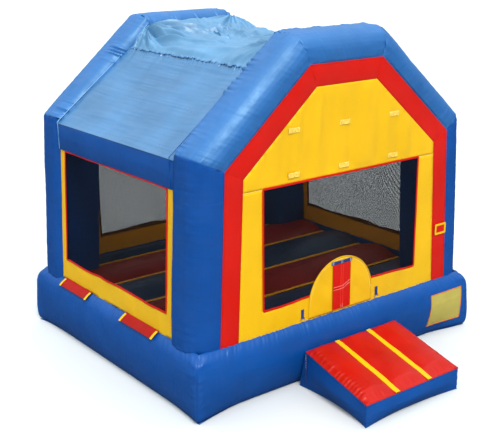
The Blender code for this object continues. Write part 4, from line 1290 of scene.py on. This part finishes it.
def make_step_details():
    """The seam welt round the deck's rim, and the strap at the back corner with its stitching."""
    flat = resample(STEP_CORNERS, 0.02)
    path = stacked(flat[:, 0], flat[:, 1], step_top(flat[:, 1]) - 0.010)
    ribbon("step_welt", path, (0, -0.2, 1), 0.007, 0.006, BLUE, "blue_vinyl", body="entry_step")
    low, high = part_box("step_strap")
    y = np.linspace(low.y, high.y, 6)[:, None]
    z = np.linspace(low.z, high.z, 40)[None]
    x = low.x + 0.003 * noise1(z / 0.08, 870) - 0.007
    grid = stacked(x, y, z)
    sheet_piece("step_tab", grid, 0.003, NAVY, "webbing", body="entry_step",
                replaces=("step_strap",))
    middle = (low.y + high.y) / 2
    row = [(low.x - 0.010, middle, at) for at in ((low.z + high.z) / 2, high.z - 0.01)]
    stitches("stitching_step_tab", [row], (-1, 0, 0), body="entry_step")


# ---- Fittings --------------------------------------------------------------------------------


PAD_HEIGHTS, PAD_PLACES = (3.15, 2.635), (-0.815, DOOR_X, 0.782)
PAD_HALF_X, PAD_HALF_Z = 0.082, 0.030


def make_pads():
    """Six squares of hook fabric on the front wall, in two rows."""
    for row, z in enumerate(PAD_HEIGHTS):
        for column, x in enumerate(PAD_PLACES):
            name = f"hook_pad_{row * len(PAD_PLACES) + column + 1}"
            a = np.linspace(x - PAD_HALF_X, x + PAD_HALF_X, 14)[:, None]
            b = np.linspace(z - PAD_HALF_Z, z + PAD_HALF_Z, 8)[None]
            rise = 0.0025 * np.sin(np.pi * (a - x + PAD_HALF_X) / (2 * PAD_HALF_X)) ** 0.3
            rise = rise * np.sin(np.pi * (b - z + PAD_HALF_Z) / (2 * PAD_HALF_Z)) ** 0.3
            grid = stacked(a, -WALL_FACE - 0.010 - rise, b)
            sheet_piece(name, facing_front(grid), 0.010, HOOK, "yellow_vinyl")
            hem = rectangle(x - 0.074, z - 0.022, x + 0.074, z + 0.022)
            path = [(across, -WALL_FACE - 0.0115, up) for across, up in (*hem, hem[0])]
            stitches(f"stitching_{name}", [path], (0, -1, 0), look=PALE_THREAD, pitch=0.012,
                     length=0.008)


def make_pocket():
    """The document pocket: a red flap with a wide yellow binding."""
    low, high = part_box("document_pocket")
    face = low.y - 0.010
    a = np.linspace(low.x + 0.01, high.x - 0.01, 12)[:, None]
    b = np.linspace(low.z + 0.01, high.z - 0.01, 10)[None]
    grid = stacked(a, face, b)
    sheet_piece("pocket_window", facing_front(grid), 0.006, RED, "red_vinyl",
                replaces=("document_pocket",))
    corners = rectangle(low.x + 0.012, low.z + 0.012, high.x - 0.012, high.z - 0.012)
    flat = resample(corners, 0.012, closed=True)
    path = stacked(flat[:, 0], face - 0.002, flat[:, 1])
    ribbon("pocket_binding", path, (0, -1, 0), 0.030, 0.008, YELLOW, "yellow_vinyl", closed=True)


def make_care_patch():
    """A plain patch on the base with a thin border."""
    low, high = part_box("care_patch")
    a = np.linspace(low.x + 0.01, high.x - 0.01, 40)[:, None]
    b = np.linspace(low.z, high.z, 34)[None]
    grid = stacked(a, base_front_y(a, b, 0.005), b)
    sheet_piece("plain_patch", facing_front(grid), 0.004, PATCH, "patch", replaces=("care_patch",))
    corners = rectangle(low.x + 0.015, low.z + 0.005, high.x - 0.015, high.z - 0.005)
    flat = resample(corners, 0.015, closed=True)
    path = stacked(flat[:, 0], base_front_y(flat[:, 0], flat[:, 1], 0.006), flat[:, 1])
    ribbon("patch_border", path, (0, -1, 0), 0.012, 0.005, BORDER, "patch", closed=True)


BORDER = vinyl("patch_border", (0.60, 0.13, 0.02), RED_GLOSS, 0.1)


def make_flaps():
    """The flaps over the deflation zips, each with a yellow band at both ends, and the zips."""
    for word in ("rear", "front"):
        low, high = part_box(f"deflation_flap_{word}")
        hinge, tip = (high.x, high.z), (low.x, low.z)
        u = np.linspace(0, 1, 16)[:, None]
        y = np.linspace(low.y, high.y, 60)[None]
        bulge = 0.006 * np.sin(np.pi * u) + 0.004 * u * noise1(y / 0.14, 900 + len(word))
        x = hinge[0] + (tip[0] - hinge[0]) * u - 0.5 * bulge
        z = hinge[1] + (tip[1] - hinge[1]) * u + 0.85 * bulge
        grid = stacked(x, y, z)
        body = f"{word}_flap"
        # The flaps wear the darker copy of the red, painted shade.
        flap = sheet_piece(f"zip_flap_{word}", facing_up(grid), 0.004, SHADED_FLAP_RED, "red_vinyl", body=body,
                           replaces=(f"deflation_flap_{word}",))
        for i, at in enumerate((low.y + 0.018, high.y - 0.018)):
            share = np.linspace(0.16, 1.04, 16)
            path = stacked(hinge[0] + (tip[0] - hinge[0]) * share - 0.003, at,
                           hinge[1] + (tip[1] - hinge[1]) * share + 0.006 * np.sin(np.pi * share) + 0.003)
            ribbon(f"zip_flap_band_{word}_{i + 1}", path, (-0.5, 0, 0.85), 0.040, 0.006, YELLOW,
                   "yellow_vinyl", body=body)
        slider_low, slider_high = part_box(f"zip_slider_{word}")
        middle = ((slider_low.x + slider_high.x) / 2, (slider_low.z + slider_high.z) / 2)
        run = np.linspace(slider_high.y - 0.66, slider_high.y + 0.01, 60)
        path = stacked(middle[0], run, middle[1] - 0.004)
        ribbon(f"zip_tape_{word}", path, (-0.6, 0, 0.8), 0.030, 0.004, DARK, "webbing")


def make_sleeve():
    """The limp sleeve that the blower is tied into: a tube of fabric with slack folds."""
    low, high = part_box("blower_sleeve")
    radius = (high.x - low.x) / 2
    centre = ((high.x + low.x) / 2, (high.z + low.z) / 2)
    turn = np.linspace(0, 2 * math.pi, 72, endpoint=False)[None]
    share = np.linspace(0, 1, 70)[:, None]
    y = HALF_Y - 0.02 + (high.y - HALF_Y + 0.02) * share
    fold = 0.010 * noise2(turn / 0.35, share * 3, 950) + 0.006 * np.sin(turn * 5 + 6 * share) * share
    ring = radius - 0.010 + fold * np.sin(np.pi * np.clip(share * 1.2, 0, 1) * 0.9 + 0.2)
    outer, inner = (stacked(centre[0] + r * np.cos(turn), y, centre[1] + r * np.sin(turn))
                    for r in (ring, ring - 0.004))
    rows, columns = outer.shape[:2]
    grid = np.concatenate([outer, inner[::-1]], axis=0)
    faces = grid_faces(2 * rows, columns, True)
    last = (2 * rows - 1) * columns
    faces += [[i, (i + 1) % columns, last + (i + 1) % columns, last + i] for i in range(columns)]
    piece = add_piece("air_sleeve", grid, faces, BLUE, "blue_vinyl", replaces=("blower_sleeve",))


def dress_frame():
    """Better materials for the small CAD pieces that are shown as they are."""
    metal_nodes = ("d_ring_left", "d_ring_right", "zip_slider_rear", "zip_slider_front")
    for name in (*metal_nodes, "tie_strap_left", "tie_strap_right"):
        look = METAL if name in metal_nodes else NAVY
        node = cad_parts[name]
        node.data.materials.clear()
        node.data.materials.append(look)


# ---- Stage, light and camera -----------------------------------------------------------------

CAMERA_AT = (-7.632, -9.827, 5.295)
AZIMUTH, ELEVATION, ROLL = 37.90, 17.0, -0.384
LENS = 68.47
FLOOR_REACH = 400.0
SKY_STRENGTH, SKY_BEHIND, SKY_TINT = 2.2, 1.35, (0.88, 1.0, 1.04)
# Grey of the sky, from straight below (0) over the horizon (0.5) to straight above (1).
SKY_GREYS = ((0.0, 0.02), (0.48, 0.03), (0.55, 0.18), (0.72, 0.36), (1.0, 1.0))
KEY_POWER, KEY_SPREAD, KEY_FROM = 3.2, 24, (-0.22, -0.55, 0.80)
GLOW_POWER, GLOW_COLOUR, GLOW_HEIGHT = 50.0, (1.0, 0.70, 0.48), 2.95


def add_object(name, data):
    made = bpy.data.objects.new(name, data)
    bpy.context.scene.collection.objects.link(made)
    return made


def make_stage():
    """A pale floor that the camera sees and that glossy surfaces don't."""
    mesh = bpy.data.meshes.new("floor")
    corners = rectangle(-FLOOR_REACH, -FLOOR_REACH, FLOOR_REACH, FLOOR_REACH)
    mesh.from_pydata([(x, y, 0) for x, y in corners], [], [(0, 1, 2, 3)])
    floor = add_object("floor", mesh)
    floor.location.z = -0.001
    paper = Look("paper", 0.9, 0.1)
    paper.colour(paper.ramp(paper.noise(0.6, 2.0), shades((0.55, 0.55, 0.55), 0.01)))
    mesh.materials.append(paper.made)
    floor.visible_glossy = False


def make_world():
    """A sky that is bright overhead and behind the object, and plain white to the camera."""
    world = bpy.data.worlds.new("studio")
    world.use_nodes = True
    nodes, link = world.node_tree.nodes, world.node_tree.links.new
    sky = nodes["Background"]
    split = nodes.new("ShaderNodeSeparateXYZ")
    link(nodes.new("ShaderNodeTexCoord").outputs["Generated"], split.inputs["Vector"])
    height = nodes.new("ShaderNodeMapRange")
    height.inputs["From Min"].default_value = -1.0
    link(split.outputs["Z"], height.inputs["Value"])
    ramp = nodes.new("ShaderNodeValToRGB")
    while len(ramp.color_ramp.elements) < len(SKY_GREYS):
        ramp.color_ramp.elements.new(0.5)
    for element, (at, grey) in zip(ramp.color_ramp.elements, SKY_GREYS):
        element.position = at
        element.color = (*(grey * part for part in SKY_TINT), 1.0)
    link(height.outputs["Result"], ramp.inputs["Fac"])
    behind = nodes.new("ShaderNodeMapRange")
    behind.inputs["From Min"].default_value = -0.2
    behind.inputs["To Min"].default_value = 1.0
    behind.inputs["To Max"].default_value = SKY_BEHIND
    link(split.outputs["Y"], behind.inputs["Value"])
    brighter = nodes.new("ShaderNodeVectorMath")
    brighter.operation = "SCALE"
    link(ramp.outputs["Color"], brighter.inputs["Vector"])
    link(behind.outputs["Result"], brighter.inputs["Scale"])
    link(brighter.outputs["Vector"], sky.inputs["Color"])
    sky.inputs["Strength"].default_value = SKY_STRENGTH
    plain = nodes.new("ShaderNodeBackground")
    plain.inputs["Color"].default_value = (1.0, 1.0, 1.0, 1.0)
    seen = nodes.new("ShaderNodeMixShader")
    link(nodes.new("ShaderNodeLightPath").outputs["Is Camera Ray"], seen.inputs["Fac"])
    link(sky.outputs["Background"], seen.inputs[1])
    link(plain.outputs["Background"], seen.inputs[2])
    link(seen.outputs["Shader"], nodes["World Output"].inputs["Surface"])
    bpy.context.scene.world = world


def make_lights():
    """A broad sun, and a dim glow in the bounce room for the daylight that comes through the roof."""
    sun = bpy.data.lights.new("key", "SUN")
    sun.energy = KEY_POWER
    sun.angle = math.radians(KEY_SPREAD)
    lamp = add_object("key", sun)
    lamp.rotation_mode = "QUATERNION"
    lamp.rotation_quaternion = Vector(KEY_FROM).to_track_quat("Z", "Y")
    glow = bpy.data.lights.new("room_glow", "AREA")
    glow.shape = "RECTANGLE"
    glow.size, glow.size_y = 2.4, 2.2
    glow.energy = GLOW_POWER
    glow.color = GLOW_COLOUR
    lamp = add_object("room_glow", glow)
    lamp.location = (0.0, 0.0, GLOW_HEIGHT)
    lamp.visible_camera = False
    lamp.visible_glossy = False


def make_camera():
    azimuth, elevation, roll = (math.radians(a) for a in (AZIMUTH, ELEVATION, ROLL))
    forward = Vector((math.sin(azimuth) * math.cos(elevation), math.cos(azimuth) * math.cos(elevation),
                      -math.sin(elevation)))
    level = Vector((math.cos(azimuth), -math.sin(azimuth), 0.0))
    upright = level.cross(forward)
    right = level * math.cos(roll) + upright * math.sin(roll)
    up = upright * math.cos(roll) - level * math.sin(roll)
    data = bpy.data.cameras.new("camera")
    data.lens = LENS
    data.sensor_width = 36.0
    data.clip_end = 1000.0
    camera = add_object("camera", data)
    turn = Matrix((right, up, -forward)).transposed()
    camera.matrix_world = Matrix.Translation(CAMERA_AT) @ turn.to_4x4()
    bpy.context.scene.camera = camera
    bpy.context.scene.view_settings.view_transform = "Standard"


make_camera()
make_world()
make_lights()
make_stage()
make_base()
make_floor()
make_arches()
make_trims()
make_beams()
make_front_and_back()
make_sides()
make_nets()
make_door()
make_roof_slopes()
make_roof_top()
make_step_body()
make_step_deck()
make_step_details()
make_pads()
make_pocket()
make_care_patch()
make_flaps()
make_sleeve()
dress_frame()

bpy.context.view_layer.update()
